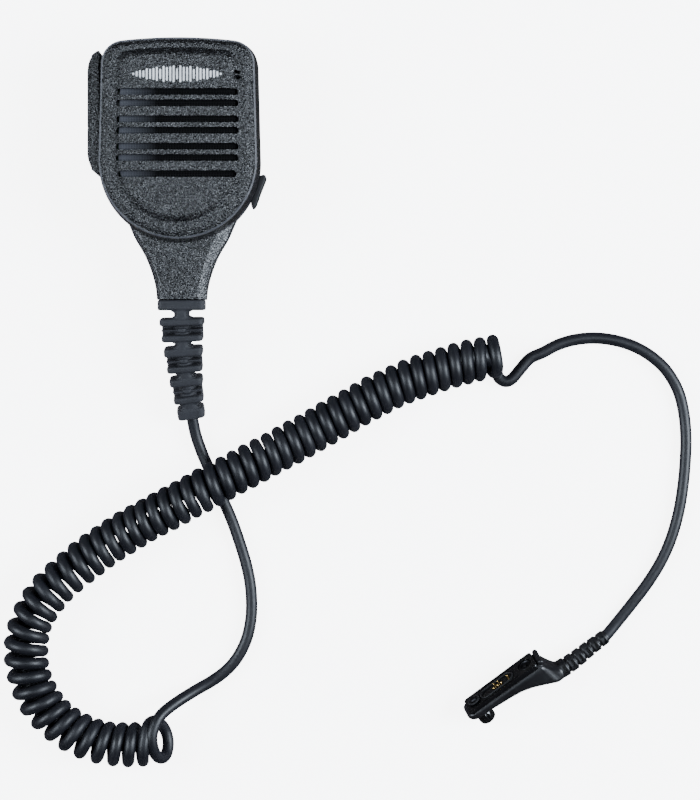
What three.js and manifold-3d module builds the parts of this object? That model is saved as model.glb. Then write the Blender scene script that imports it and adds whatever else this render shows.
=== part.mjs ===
// A hand microphone for a two-way radio: a speaker microphone with a push-to-talk bar, a belt clip,
// a curly cord and a flat multi-pin side connector held by a thumb screw.
// Millimetres. +Z is up and out of the speaker grille, +Y runs from the cord to the top of the head.
// The head lies on its belt clip, and the origin is at the bottom centre of its box.
import * as THREE from "three";
import { mergeVertices } from "three/addons/utils/BufferGeometryUtils.js";
import Module from "manifold-3d";

const wasm = await Module();
wasm.setup();

// ---------------------------------------------------------------- driving dimensions
const GAP = 0.3; // running gap between neighbouring pieces
const WALL = 2.2; // housing wall

// head, as seen from the front
const HEAD_LENGTH = 98; // top edge to the end of the neck
const SHELL_HALF_WIDTH = 30.4;
const SHOULDER_TAPER = 0.9; // how much narrower each side is at the top
const CORNER_RADIUS = 9.5;
const CROWN_ANGLE = THREE.MathUtils.degToRad(6.5); // slope of the arched top edge at the corners
const SHELL_TOP = HEAD_LENGTH / 2;
const ARC_Y = 2.6; // centre of the half circle that closes the bottom
const PTT_OUT = 34; // how far the talk bar reaches to the left
const COVER_ANGLE = THREE.MathUtils.degToRad(-20.4); // where the jack sits on the bottom arc
const COVER_RADIUS = 32.5; // outer face of the jack cover from the arc's centre
const COVER_HALF = 6.7; // half length of the jack cover
const COVER_EDGE = 0.5; // its edge rounding
const COVER_OUT =
  (COVER_RADIUS - COVER_EDGE) * Math.cos(COVER_ANGLE) -
  (COVER_HALF - COVER_EDGE) * Math.sin(COVER_ANGLE) +
  COVER_EDGE;
const SHIFT_X = (PTT_OUT - COVER_OUT) / 2;

// head, levels from the surface it lies on
const BACK_Z = 9;
const REAR_RIM_Z = 20.4;
const FRONT_RIM_Z = 20.8;
const ROOF_Z = 27.5; // inside of the border
const BORDER_Z = 32;
const PANEL_Z = 33.5;
const BORDER_ROUND = 5.5;
const PANEL_HALF_WIDTH = 24;
const PANEL_TOP = 44.4;
const PANEL_CORNER = 6;
const PANEL_SLOPE = 3;

// speaker slots: pairs, the last one alone
const SLOT_COUNT = 7;
const FIRST_SLOT_Y = 27.4;
const SLOT_PITCH = 10.15;
const SLOT_STEP = 4.2;
const SLOT_HALF_LENGTH = 22.8;
const SLOT_RADIUS = 1.25;

const SPEAKER_Y = 12.2;
const MIC_AT = [18, 33.5];
const HOUSING_SCREWS = [[24.5, 38.5], [-24.5, 38.5], [14, -17], [-14, -17]];
const BOARD_Z = 15.6;

// neck and strain relief at the head
const NECK_LEAN = 0.6; // the neck ends this far right of the shell's middle
const NECK_END = -HEAD_LENGTH / 2;
const NECK_BACK_Z = 9.6;
const CORD_Z = 15; // height of the cord inside the neck
const CORD_RADIUS = 2.25;
const BOOT_LENGTH = 45;

// belt clip
const CLIP_HUB_Y = 16;
const CLIP_PLATE_Z = 7.1;
const CLIP_PIN_Y = CLIP_HUB_Y + 7;
const CLIP_PIN_Z = 4.7;
const CLIP_JAW_Y = CLIP_HUB_Y - 30;
const LEVER_THICK = 2.2;

// curly cord
const COIL_RADIUS = 8.55;

// plug: its own frame has x from the tip to the cord, z out of the contact face
const PLUG_AT = new THREE.Vector3(122.1, -194.4, 10.1);
const PLUG_TURN = new THREE.Euler(
  THREE.MathUtils.degToRad(-64),
  THREE.MathUtils.degToRad(-4),
  THREE.MathUtils.degToRad(37),
  "ZYX",
);
const PLUG_HALF_WIDTH = 5.75;

// ---------------------------------------------------------------- materials
function finish(color, roughness, metalness = 0) {
  return new THREE.MeshStandardMaterial({ color, roughness, metalness });
}
const shellPlastic = finish(0x232427, 0.62);
const darkPlastic = finish(0x17181a, 0.45);
const rubber = finish(0x2c2d31, 0.75);
const cordJacket = finish(0x1d1e22, 0.42);
const steel = finish(0x9a9da1, 0.35, 1);
const gold = finish(0xc9a04a, 0.3, 1);
const boardGreen = finish(0x1f5a37, 0.5);
const paper = finish(0x3a3a38, 0.9);
const foam = finish(0x26262a, 0.95);

// ---------------------------------------------------------------- solids
// A geometry as a closed solid, facing out.
function solid(geometry) {
  const bare = geometry.index ? geometry.toNonIndexed() : geometry.clone();
  const merged = mergeVertices(
    new THREE.BufferGeometry().setAttribute("position", bare.getAttribute("position")),
    1e-4,
  );
  const triVerts = new Uint32Array(merged.index.array);
  const vertProperties = merged.attributes.position.array;
  const made = new wasm.Manifold(new wasm.Mesh({ numProp: 3, vertProperties, triVerts }));
  if (made.volume() > 0) return made;
  triVerts.reverse();
  return new wasm.Manifold(new wasm.Mesh({ numProp: 3, vertProperties, triVerts }));
}

function join(...solids) {
  return solids.reduce((whole, next) => whole.add(next));
}

function cut(body, ...tools) {
  return tools.reduce((rest, tool) => rest.subtract(tool), body);
}

function geometryOf(body) {
  const mesh = body.getMesh();
  const points = new Float32Array(mesh.numVert * 3);
  for (let i = 0; i < mesh.numVert; i++) {
    points.set(mesh.vertProperties.subarray(i * mesh.numProp, i * mesh.numProp + 3), i * 3);
  }
  const geometry = new THREE.BufferGeometry();
  geometry.setAttribute("position", new THREE.BufferAttribute(points, 3));
  geometry.setIndex(new THREE.BufferAttribute(mesh.triVerts, 1));
  return geometry;
}

// Adds one sub-part to a group.
function add(group, name, body, material) {
  const mesh = new THREE.Mesh(geometryOf(body), material);
  mesh.name = name;
  group.add(mesh);
}

function box(x0, x1, y0, y1, z0, z1) {
  const geometry = new THREE.BoxGeometry(x1 - x0, y1 - y0, z1 - z0);
  return solid(geometry.translate((x0 + x1) / 2, (y0 + y1) / 2, (z0 + z1) / 2));
}

// An outline raised along Z, with an optional rounded or sloped rim inside the given outline.
function raised(outline, z0, z1, rim = 0, rimHeight = rim, rimSegments = 2, curveSegments = 4) {
  const geometry = new THREE.ExtrudeGeometry(outline, {
    depth: z1 - z0 - 2 * rimHeight,
    bevelEnabled: rim > 0,
    bevelThickness: rimHeight,
    bevelSize: rim,
    bevelSegments: rimSegments,
    curveSegments,
  });
  return solid(geometry.translate(0, 0, z0 + rimHeight));
}

// A profile of [radius, z] pairs turned about a vertical axis at (x, y).
function turned(profile, x = 0, y = 0, sides = 20) {
  const points = profile.map(([radius, z]) => new THREE.Vector2(radius, z));
  const geometry = new THREE.LatheGeometry(points, sides);
  return solid(geometry.rotateX(Math.PI / 2).translate(x, y, 0));
}

function rod(x, y, radius, z0, z1, sides = 16) {
  return turned([[0, z0], [radius, z0], [radius, z1], [0, z1]], x, y, sides);
}

// A rod along X or Y between two ends.
function rodAlong(axis, from, to, a, z, radius, sides = 14) {
  const geometry = new THREE.CylinderGeometry(radius, radius, to - from, sides);
  if (axis === "x") geometry.rotateZ(Math.PI / 2).translate((from + to) / 2, a, z);
  else geometry.translate(a, (from + to) / 2, z);
  return solid(geometry);
}

function roundedRect(x0, x1, y0, y1, radius) {
  const shape = new THREE.Shape();
  shape.absarc(x1 - radius, y1 - radius, radius, 0, Math.PI / 2);
  shape.absarc(x0 + radius, y1 - radius, radius, Math.PI / 2, Math.PI);
  shape.absarc(x0 + radius, y0 + radius, radius, Math.PI, 1.5 * Math.PI);
  shape.absarc(x1 - radius, y0 + radius, radius, 1.5 * Math.PI, 2 * Math.PI);
  shape.closePath();
  return shape;
}

function slotShape(x, y, halfLength, radius) {
  return roundedRect(x - halfLength, x + halfLength, y - radius, y + radius, radius - 0.01);
}

function polygon(points) {
  return new THREE.Shape(points.map(([x, y]) => new THREE.Vector2(x, y)));
}

// A round or flat section swept along a smooth curve.
function swept(points, radius, sides, steps) {
  const section = new THREE.Shape();
  for (let i = 0; i < sides; i++) {
    const angle = (2 * Math.PI * i) / sides;
    const corner = [radius * Math.cos(angle), radius * Math.sin(angle)];
    if (i === 0) section.moveTo(...corner);
    else section.lineTo(...corner);
  }
  section.closePath();
  const route = new THREE.CatmullRomCurve3(points.map((p) => new THREE.Vector3(...p)));
  return solid(new THREE.ExtrudeGeometry(section, { steps, extrudePath: route, bevelEnabled: false }));
}

// ---------------------------------------------------------------- head outlines
// A half circle below, slightly tapering sides and an arched top.
function houseOutline(half, top, corner) {
  const shoulder = half - SHOULDER_TAPER;
  const cornerX = shoulder - corner;
  const endX = cornerX + corner * Math.sin(CROWN_ANGLE);
  const rise = endX * Math.tan(CROWN_ANGLE);
  const endY = top - rise / 2;
  const cornerY = endY - corner * Math.cos(CROWN_ANGLE);
  const shape = new THREE.Shape();
  shape.absarc(0, ARC_Y, half, Math.PI, 1.5 * Math.PI);
  shape.absarc(0, ARC_Y, half, 1.5 * Math.PI, 2 * Math.PI);
  shape.absarc(cornerX, cornerY, corner, 0, Math.PI / 2 - CROWN_ANGLE);
  shape.quadraticCurveTo(0, endY + rise, -endX, endY);
  shape.absarc(-cornerX, cornerY, corner, Math.PI / 2 + CROWN_ANGLE, Math.PI);
  shape.closePath();
  return shape;
}

// The housing seen from the front.
function shellOutline(inset) {
  return houseOutline(SHELL_HALF_WIDTH - inset, SHELL_TOP - inset, Math.max(CORNER_RADIUS - inset, 1));
}

// The raised speaker panel, whose bottom arc is concentric with the housing's.
function panelOutline(inset) {
  return houseOutline(PANEL_HALF_WIDTH - inset, PANEL_TOP - inset, PANEL_CORNER - inset);
}

// A thin channel that follows the rim, for the gasket.
function rimRing(innerInset, outerInset, z0, z1) {
  return cut(
    raised(shellOutline(outerInset), z0, z1),
    raised(shellOutline(innerInset), z0 - 1, z1 + 1),
  );
}

// ---------------------------------------------------------------- housing
const STEM_Y = [20, 28]; // the talk bar's stem
const STEM_Z = [22.9, 26.4];

function frontHousing() {
  const block = raised(shellOutline(BORDER_ROUND), FRONT_RIM_Z - 8, BORDER_Z, BORDER_ROUND, 4, 2);
  const below = box(-40, 40, -40, 60, 0, FRONT_RIM_Z);
  const panel = raised(panelOutline(PANEL_SLOPE), BORDER_Z - 1.5, PANEL_Z, PANEL_SLOPE, 1.4, 1);
  const hollow = join(
    raised(shellOutline(WALL), FRONT_RIM_Z - 1, ROOF_Z),
    raised(panelOutline(1), ROOF_Z - 1, BORDER_Z - 0.8),
  );
  let shell = cut(join(cut(block, below), panel), hollow);
  for (const [x, y] of HOUSING_SCREWS) {
    shell = cut(
      join(shell, rod(x, y, 3, FRONT_RIM_Z + GAP, ROOF_Z + 0.5, 12)),
      rod(x, y, 1.5, FRONT_RIM_Z - 1, 26.4, 8),
    );
  }
  for (let i = 0; i < SLOT_COUNT; i++) {
    const y = FIRST_SLOT_Y - Math.floor(i / 2) * SLOT_PITCH - (i % 2) * SLOT_STEP;
    const outline = slotShape(0, y, SLOT_HALF_LENGTH - (i === SLOT_COUNT - 1 ? 0.8 : 0), SLOT_RADIUS);
    shell = cut(shell, raised(outline, BORDER_Z - 2, PANEL_Z + 1, 0, 0, 1, 1));
  }
  for (const y of [34.8, 32.9]) {
    shell = cut(shell, raised(slotShape(22.2, y, 1.25, 0.7), ROOF_Z - 1, PANEL_Z + 1, 0, 0, 1, 1));
  }
  const window = box(-33, -26, STEM_Y[0] - GAP, STEM_Y[1] + GAP, STEM_Z[0] - GAP, STEM_Z[1] + GAP);
  return cut(shell, window, rimRing(1.8, 0.5, FRONT_RIM_Z - 1, 21.9));
}

// The neck seen from the front, flaring from the strain relief up to the housing.
function neckOutline(inset) {
  const side = [[21.5, -17], [17.6, -26.2], [14, -32.4], [11.5, -38.5], [10, -44], [9.5, NECK_END]];
  const right = side.map(([x, y]) => [NECK_LEAN + x - inset, y]);
  const left = side.map(([x, y]) => [NECK_LEAN - x + inset, y]).reverse();
  return polygon([...right.reverse(), ...left.reverse()]);
}

const CLIP_BOSS_TOP = 15;
const CLAMP_SCREW_X = 6;
const CLAMP_Y = -16;

function rearHousing() {
  const block = raised(shellOutline(3.5), BACK_Z, REAR_RIM_Z + 8, 3.5, 3.5, 2);
  const above = box(-40, 40, -60, 60, REAR_RIM_Z, 60);
  const neckEdge = 2.2;
  const neck = cut(
    raised(neckOutline(neckEdge), NECK_BACK_Z, REAR_RIM_Z, neckEdge, neckEdge, 2),
    box(-40, 40, NECK_END - 9, NECK_END, 0, 40),
  );
  const hollow = raised(shellOutline(WALL), BACK_Z + WALL, REAR_RIM_Z + 1);
  let shell = cut(join(cut(block, above), neck), hollow);
  for (const [x, y] of HOUSING_SCREWS) {
    shell = join(shell, rod(x, y, 3.6, BACK_Z + 1, REAR_RIM_Z - 0.2, 12));
  }
  shell = join(shell, rod(0, CLIP_HUB_Y, 5, BACK_Z + 1, CLIP_BOSS_TOP, 12));
  for (const x of [-CLAMP_SCREW_X, CLAMP_SCREW_X]) {
    shell = join(shell, rod(x, CLAMP_Y, 2.5, BACK_Z + 1, 16.8, 8));
  }
  for (const [x, y] of HOUSING_SCREWS) {
    shell = cut(shell, rod(x, y, 1.6, BACK_Z - 1, REAR_RIM_Z + 1, 8), rod(x, y, 3, BACK_Z - 1, 11, 12));
  }
  for (const x of [-CLAMP_SCREW_X, CLAMP_SCREW_X]) {
    shell = cut(shell, rod(x, CLAMP_Y, 1.3, 12.2, 17, 8));
  }
  const channel = box(-6.3 + NECK_LEAN / 2, 6.3 + NECK_LEAN / 2, NECK_END - 1, -20, CORD_Z - 3.2, CORD_Z + 3.2);
  const clipHole = rod(0, CLIP_HUB_Y, 1.9, BACK_Z - 1, 14, 12);
  return cut(shell, channel, clipHole, jackTool(3.4, 22, 40), rimRing(1.8, 0.5, 19.3, REAR_RIM_Z + 1));
}

// A rod along the jack's axis, from one distance to another from the arc's centre.
const JACK_Z = 14.6;
function jackTool(radius, from, to) {
  const geometry = new THREE.CylinderGeometry(radius, radius, to - from, 20);
  geometry.rotateZ(-Math.PI / 2).translate((from + to) / 2, 0, 0);
  return solid(geometry.rotateZ(COVER_ANGLE).translate(0, ARC_Y, JACK_Z));
}

// ---------------------------------------------------------------- talk bar
const BAR_Z = [13, 27];
const BAR_Y = [-1, 41.6];
const BAR_INNER = -31.9;

// The bar: a long pad with a ramp at its lower end and a stem that reaches the switch.
function talkBar() {
  const pad = raised(
    polygon([
      [BAR_INNER, BAR_Y[0]],
      [BAR_INNER, BAR_Y[1]],
      [-PTT_OUT + 0.9, BAR_Y[1]],
      [-PTT_OUT, BAR_Y[1] - 1.6],
      [-PTT_OUT, 4.2],
      [BAR_INNER - 0.6, BAR_Y[0]],
    ]),
    ...BAR_Z,
  );
  return join(pad, box(BAR_INNER - 0.5, -27, ...STEM_Y, ...STEM_Z));
}

// The soft rim around the bar, shaped to the housing's side.
function talkBarRim() {
  const block = box(-32.4, -24, BAR_Y[0] - 0.9, BAR_Y[1] + 0.9, BAR_Z[0] - 0.9, BAR_Z[1] + 0.9);
  const opening = box(-40, -20, BAR_Y[0] - GAP, BAR_Y[1] + GAP, BAR_Z[0] - GAP, BAR_Z[1] + GAP);
  return cut(block, opening, raised(shellOutline(-GAP), 0, 40));
}

const COVER_Z = [10.2, 19.2];

// The jack cover: a flap that stands a little off the housing, hooked over at its hinge end.
function jackCover() {
  const flap = roundedRect(COVER_RADIUS - 1.2, COVER_RADIUS, -COVER_HALF, COVER_HALF, COVER_EDGE);
  const hook = roundedRect(COVER_RADIUS - 1.9, COVER_RADIUS, COVER_HALF - 1.8, COVER_HALF, COVER_EDGE);
  const cover = join(raised(flap, ...COVER_Z, 0, 0, 1, 3), raised(hook, ...COVER_Z, 0, 0, 1, 3));
  return solid(geometryOf(cover).rotateZ(COVER_ANGLE).translate(0, ARC_Y, 0));
}

function earphoneJack() {
  return cut(jackTool(3, 19, 30.2), jackTool(1.8, 21, 31));
}

// ---------------------------------------------------------------- belt clip
function clipBase() {
  const plate = raised(
    roundedRect(-11, 11, CLIP_JAW_Y, CLIP_PIN_Y + 3, 3),
    CLIP_PLATE_Z,
    BACK_Z - GAP,
    0, 0, 1, 2,
  );
  let base = plate;
  for (const x of [-9.6, 7.8]) {
    base = join(
      base,
      rodAlong("x", x, x + 1.8, CLIP_PIN_Y, CLIP_PIN_Z, 2, 12),
      box(x, x + 1.8, CLIP_PIN_Y - 2, CLIP_PIN_Y + 2, CLIP_PIN_Z, CLIP_PLATE_Z + 0.5),
    );
  }
  return cut(
    base,
    rodAlong("x", -20, 20, CLIP_PIN_Y, CLIP_PIN_Z, 1.4, 10),
    rod(0, CLIP_HUB_Y, 3.5, 0, 8.05),
    rod(0, CLIP_HUB_Y, 1.9, 0, BACK_Z),
  );
}

function clipLever() {
  let lever = raised(roundedRect(-9.5, 9.5, CLIP_JAW_Y, CLIP_PIN_Y + 11, 3.5), 0, LEVER_THICK, 0, 0, 1, 2);
  lever = join(lever, box(-6.5, 6.5, CLIP_JAW_Y, CLIP_JAW_Y + 2.4, LEVER_THICK - 0.5, CLIP_PLATE_Z - 0.4));
  for (const x of [-7.4, 5.6]) {
    lever = join(
      lever,
      rodAlong("x", x, x + 1.8, CLIP_PIN_Y, CLIP_PIN_Z, 2, 12),
      box(x, x + 1.8, CLIP_PIN_Y - 2, CLIP_PIN_Y + 2, LEVER_THICK - 0.5, CLIP_PIN_Z),
    );
  }
  return cut(lever, rodAlong("x", -20, 20, CLIP_PIN_Y, CLIP_PIN_Z, 1.4, 10));
}

function clipSpring() {
  return cut(
    rodAlong("x", -4.8, 4.8, CLIP_PIN_Y, CLIP_PIN_Z, 2.1),
    rodAlong("x", -6, 6, CLIP_PIN_Y, CLIP_PIN_Z, 1.4),
  );
}

// ---------------------------------------------------------------- screws
function housingScrew(x, y) {
  return turned(
    [[0, 10], [0.9, 10], [0.9, 9.3], [2.6, 9.3], [2.6, 10.7], [1.2, 10.7], [1.2, 25.8], [0, 25.8]],
    x, y, 14,
  );
}

function clipScrew() {
  return turned(
    [[0, 7.5], [1, 7.5], [1, 7.3], [3.2, 7.3], [3.2, 7.75], [1.5, 7.75], [1.5, 13.5], [0, 13.5]],
    0, CLIP_HUB_Y, 16,
  );
}

function clampScrew(x) {
  return turned(
    [[0, 12.8], [1, 12.8], [1, 19.5], [2, 19.5], [2, 20.7], [0.7, 20.7], [0.7, 20.2], [0, 20.2]],
    x, CLAMP_Y, 12,
  );
}

// ---------------------------------------------------------------- strain relief at the head
// The middle line of the strain relief: level out of the neck, then sinking and bending to the right.
const BOOT_START = [1.1, NECK_END - GAP, CORD_Z];
const BOOT_SINK = 9.2;
const BOOT_BEND = 3.3;
function bootPoint(length) {
  const part = length / BOOT_LENGTH;
  return new THREE.Vector3(
    BOOT_START[0] + BOOT_BEND * part ** 2.2,
    BOOT_START[1] - length * 0.985,
    BOOT_START[2] - BOOT_SINK * part ** 1.6,
  );
}

// One slab of the strain relief between two lengths, with its width and height.
function bootSlab(from, to, width, height, radius) {
  const middle = bootPoint((from + to) / 2);
  const along = bootPoint(to).sub(bootPoint(from)).normalize();
  const side = new THREE.Vector3(0, 0, 1).cross(along).normalize();
  const up = along.clone().cross(side);
  const shape = roundedRect(-width / 2, width / 2, -height / 2, height / 2, radius);
  const length = to - from;
  const geometry = new THREE.ExtrudeGeometry(shape, { depth: length, bevelEnabled: false, curveSegments: 1 });
  geometry.translate(0, 0, -length / 2);
  geometry.applyMatrix4(new THREE.Matrix4().makeBasis(side, up, along).setPosition(middle));
  return solid(geometry);
}

// Slabs that taper towards the cord, joined in turn by an upright web and by a level web.
const BOOT_SLABS = [[0, 4], [6.9, 9.7], [13, 15.6], [17.9, 21.2], [24.6, 27.2], [29.3, 32.4], [36.2, 38.9], [40.8, 45]];
function cableBoot() {
  const width = (length) => 18 - 8.2 * (length / BOOT_LENGTH);
  const height = (length) => 10.4 - 1.6 * (length / BOOT_LENGTH);
  const middle = BOOT_START[0];
  let boot = box(middle - 5.8, middle + 5.8, NECK_END - 1, NECK_END + 8, CORD_Z - 2.8, CORD_Z + 2.8);
  BOOT_SLABS.forEach(([from, to], i) => {
    const halfWay = (from + to) / 2;
    boot = join(boot, bootSlab(from, to, width(halfWay), height(halfWay), 1.6));
    if (i === BOOT_SLABS.length - 1) return;
    const next = BOOT_SLABS[i + 1][0];
    const upright = i % 2 === 0;
    const webWidth = upright ? 4.4 : width(next) - 1;
    const webHeight = upright ? height(next) - 1 : 4.4;
    boot = join(boot, bootSlab(to - GAP, next + GAP, webWidth, webHeight, 1));
  });
  return boot;
}

// ---------------------------------------------------------------- cord
// The straight stretch from the head: it sinks to the surface, passes under the curly part
// and rises to the start of the curly part.
const CORD_LIE = 2.3; // middle of the cord where it lies on the surface
const LEAD_ROUTE = [
  [4.5, -94.1, 5.6],
  [5.7, -100.4, 3.7],
  [7.9, -107, 2.6],
  [10.2, -112.4, CORD_LIE],
  [13, -119, CORD_LIE],
  [16.6, -126.6, CORD_LIE],
  [19.6, -133.6, CORD_LIE],
  [22.2, -141, CORD_LIE],
  [24.6, -148.7, CORD_LIE],
  [26.3, -156.3, CORD_LIE],
  [27, -164, CORD_LIE],
  [26.7, -171.5, CORD_LIE],
  [25, -179, CORD_LIE],
  [21.6, -185.8, CORD_LIE],
  [17.4, -190.7, CORD_LIE],
  [12.2, -194.6, 2.6],
  [6.1, -198, 4.2],
  [0.2, -201.4, 7.2],
  [-4.5, -204.2, 10.6],
];

// The middle line of the curly part, with a long low hump where the straight stretch runs under it.
const COIL_LIE = 8.7;
const COIL_ROUTE = [
  [-5, -217.4, COIL_LIE],
  [-19.5, -218.4, COIL_LIE],
  [-32, -217, COIL_LIE],
  [-43.5, -211.6, COIL_LIE],
  [-52.3, -203.2, COIL_LIE],
  [-57.4, -192.5, COIL_LIE],
  [-58.7, -181.5, COIL_LIE],
  [-56.6, -170.9, COIL_LIE],
  [-50, -160.4, COIL_LIE],
  [-40.3, -151.3, COIL_LIE],
  [-29.2, -142.9, COIL_LIE],
  [-16.2, -134.8, 10],
  [-2.2, -127.3, 12.2],
  [12.4, -119.4, 13.4],
  [26, -112.2, 12.2],
  [38.5, -105.6, 10],
  [50.5, -99, COIL_LIE],
  [63.5, -91.6, COIL_LIE],
  [76.2, -84.6, COIL_LIE],
  [88.4, -79.2, COIL_LIE],
  [102.2, -74.6, COIL_LIE],
  [111.3, -72.1, COIL_LIE],
  [121, -70.2, COIL_LIE],
];

// The straight stretch to the plug: out from under the last turn, round a wide bend.
const TAIL_ROUTE = [
  [124.7, -79.9, CORD_LIE],
  [127.2, -78.7, CORD_LIE],
  [130.4, -74.9, CORD_LIE],
  [134, -71, CORD_LIE],
  [139, -68.7, CORD_LIE],
  [144.6, -65.8, CORD_LIE],
  [151, -63.9, CORD_LIE],
  [158.4, -63.2, CORD_LIE],
  [166, -64, CORD_LIE],
  [173.6, -66.3, CORD_LIE],
  [180.6, -70.3, CORD_LIE],
  [186.4, -75.8, CORD_LIE],
  [190.8, -83.4, CORD_LIE],
  [193, -92, CORD_LIE],
  [193.8, -101.5, CORD_LIE],
  [193.5, -111, CORD_LIE],
  [192.6, -120.5, CORD_LIE],
  [190.9, -130.5, CORD_LIE],
  [188, -140.5, CORD_LIE],
  [184, -149.4, CORD_LIE],
  [179, -157.4, CORD_LIE],
  [173.4, -164.8, CORD_LIE],
  [167.6, -172, 2.4],
  [163.5, -176.8, 3.1],
];

// ---------------------------------------------------------------- plug
// The plug's back seen from its side: thin at the thumb screw, swelling to the cord's horn.
function plugBody() {
  const side = polygon([
    [-17.6, -1.6],
    [-16.6, -0.9],
    [16.6, -0.9],
    [16.9, 0.9],
    [17.9, 0.9],
    [19.4, -9],
    [19.4, -14.2],
    [16, -12.4],
    [11.3, -9.4],
    [4.1, -6.3],
    [-4, -5.2],
    [-9, -4.6],
    [-16.2, -4.4],
    [-17.6, -3],
  ]);
  const plate = new THREE.ExtrudeGeometry(side, { depth: 2 * PLUG_HALF_WIDTH, bevelEnabled: false });
  plate.translate(0, 0, -PLUG_HALF_WIDTH).rotateX(Math.PI / 2);
  const seat = box(-16, 15.6, -5, 5, -2.4, 2);
  return cut(solid(plate), seat, rod(-12.3, 0, 1.7, -20, 5, 12));
}

const PIN_PLACES = [[-3.4, -1], [-2.6, 1], [-1.6, -1], [-0.8, 1], [0.2, -1], [3.4, 0.3]];
const ANTENNA_X = 11.3;

// The contact carrier in the front of the plug, with its sunken oval island.
function contactBlock() {
  const block = raised(roundedRect(-15.7, 15.3, -4.7, 4.7, 1.2), -2.1, 0, 0, 0, 1, 2);
  const sealGroove = cut(
    raised(slotShape(-1.9, 0, 8, 3.1), -0.9, 1, 0, 0, 1, 2),
    raised(slotShape(-1.9, 0, 6.7, 1.8), -1.5, 2, 0, 0, 1, 2),
  );
  let carrier = cut(block, sealGroove, rod(-12.3, 0, 1.7, -5, 5, 12), rod(ANTENNA_X, 0, 2.9, -1.3, 1));
  for (const [x, y] of PIN_PLACES) {
    carrier = cut(carrier, rod(x, y, 0.75, -1.8, 1, 6));
  }
  return carrier;
}

function contactSeal() {
  return cut(
    raised(slotShape(-1.9, 0, 7.7, 2.8), -0.6, 0.3, 0, 0, 1, 2),
    raised(slotShape(-1.9, 0, 7, 2.1), -1.5, 2, 0, 0, 1, 2),
  );
}

function contactPin(x, y) {
  return turned([[0, -0.7], [0.4, -0.7], [0.4, 0.5], [0.25, 0.8], [0, 0.8]], x, y, 6);
}

function antennaContact() {
  return turned([[0, -1], [2.6, -1], [2.6, -0.2], [1.9, -0.2], [1.9, -0.6], [0, -0.6]], ANTENNA_X, 0, 16);
}

// The thumb screw: a ribbed knob with a coin slot behind the plug and a shank through it.
function thumbScrew() {
  const knob = turned(
    [[0, -10.2], [2.9, -10.2], [3.3, -9.6], [3.3, -5.2], [1.4, -5.2], [1.4, 1.8], [0, 1.8]],
    -12.3, 0, 18,
  );
  let ribbed = cut(knob, box(-16, -8, -0.5, 0.5, -11, -9.3));
  for (let i = 0; i < 9; i++) {
    const angle = (2 * Math.PI * i) / 9;
    const x = -12.3 + 3.4 * Math.cos(angle);
    ribbed = cut(ribbed, rod(x, 3.4 * Math.sin(angle), 0.4, -11, -6.2, 6));
  }
  return ribbed;
}

function screwRing() {
  return turned([[1.7, 0.4], [2.5, 0.4], [2.5, 1], [1.7, 1], [1.7, 0.4]], -12.3, 0, 14);
}

// The strain relief at the plug: short collars on a core that curves with the cord.
const PLUG_BOOT_ROUTE = [
  [145, -190.2, 5.2],
  [148.4, -188.2, 4.9],
  [152.6, -185.2, 4.4],
  [156.8, -181.9, 3.9],
  [160.6, -179.2, 3.4],
  [163.2, -177.2, 3.1],
];
function plugBoot() {
  const route = new THREE.CatmullRomCurve3(PLUG_BOOT_ROUTE.map((p) => new THREE.Vector3(...p)));
  let boot = swept(PLUG_BOOT_ROUTE, 2.2, 8, 8);
  const collars = 6;
  for (let i = 0; i < collars; i++) {
    const place = i / (collars - 1);
    const at = 0.09 + 0.84 * place;
    const radius = 3.4 - 0.75 * place;
    const collar = new THREE.CylinderGeometry(radius, radius, 2.7, 10);
    const along = route.getTangentAt(at);
    const turn = new THREE.Quaternion().setFromUnitVectors(new THREE.Vector3(0, 1, 0), along);
    collar.applyQuaternion(turn).translate(...route.getPointAt(at).toArray());
    boot = join(boot, solid(collar));
  }
  return boot;
}

// ---------------------------------------------------------------- assembly
const part = new THREE.Group();
const head = new THREE.Group();
head.position.x = SHIFT_X;
part.add(head);

add(head, "front_housing", frontHousing(), shellPlastic);
add(head, "rear_housing", rearHousing(), shellPlastic);
add(head, "housing_gasket", rimRing(1.5, 0.8, 19.6, 21.6), rubber);
add(head, "ptt_bar", talkBar(), rubber);
add(head, "ptt_rim", talkBarRim(), rubber);
add(head, "jack_cover", jackCover(), rubber);
add(head, "earphone_jack", earphoneJack(), darkPlastic);

const switchBody = cut(
  box(-24.4, -17, STEM_Y[0], STEM_Y[1], BOARD_Z + 1.5, 26.8),
  box(-25, -22.2, 21.7, 26.3, 22.6, 26.7),
);
add(head, "ptt_switch", switchBody, darkPlastic);
add(head, "switch_plunger", box(-26.7, -23.9, 22, 26, 22.9, 26.4), darkPlastic);
add(head, "circuit_board", raised(roundedRect(-24.5, 17, -8, 34, 2), BOARD_Z, BOARD_Z + 1.2), boardGreen);

const speakerFrame = [
  [15.6, 28.7], [18, 28.7], [18, 27.6], [16.4, 27.6], [9.6, 22.2], [8.8, 22.2], [8.8, 23], [15.6, 27.8],
  [15.6, 28.7],
];
const speakerCone = [[0, 25.4], [4, 25], [15, 28.6], [15.3, 28.2], [4.2, 24.4], [0, 24.8]];
add(head, "speaker_frame", turned(speakerFrame, 0, SPEAKER_Y, 20), steel);
add(head, "speaker_cone", turned(speakerCone, 0, SPEAKER_Y, 20), paper);
add(head, "speaker_magnet", rod(0, SPEAKER_Y, 9.5, 17.3, 21.9, 16), steel);
const gasketRing = [[15.6, 29], [18, 29], [18, 30.3], [15.6, 30.3], [15.6, 29]];
add(head, "speaker_gasket", turned(gasketRing, 0, SPEAKER_Y, 20), foam);
add(head, "grille_cloth", raised(panelOutline(2), 30.6, 30.9), foam);

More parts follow.
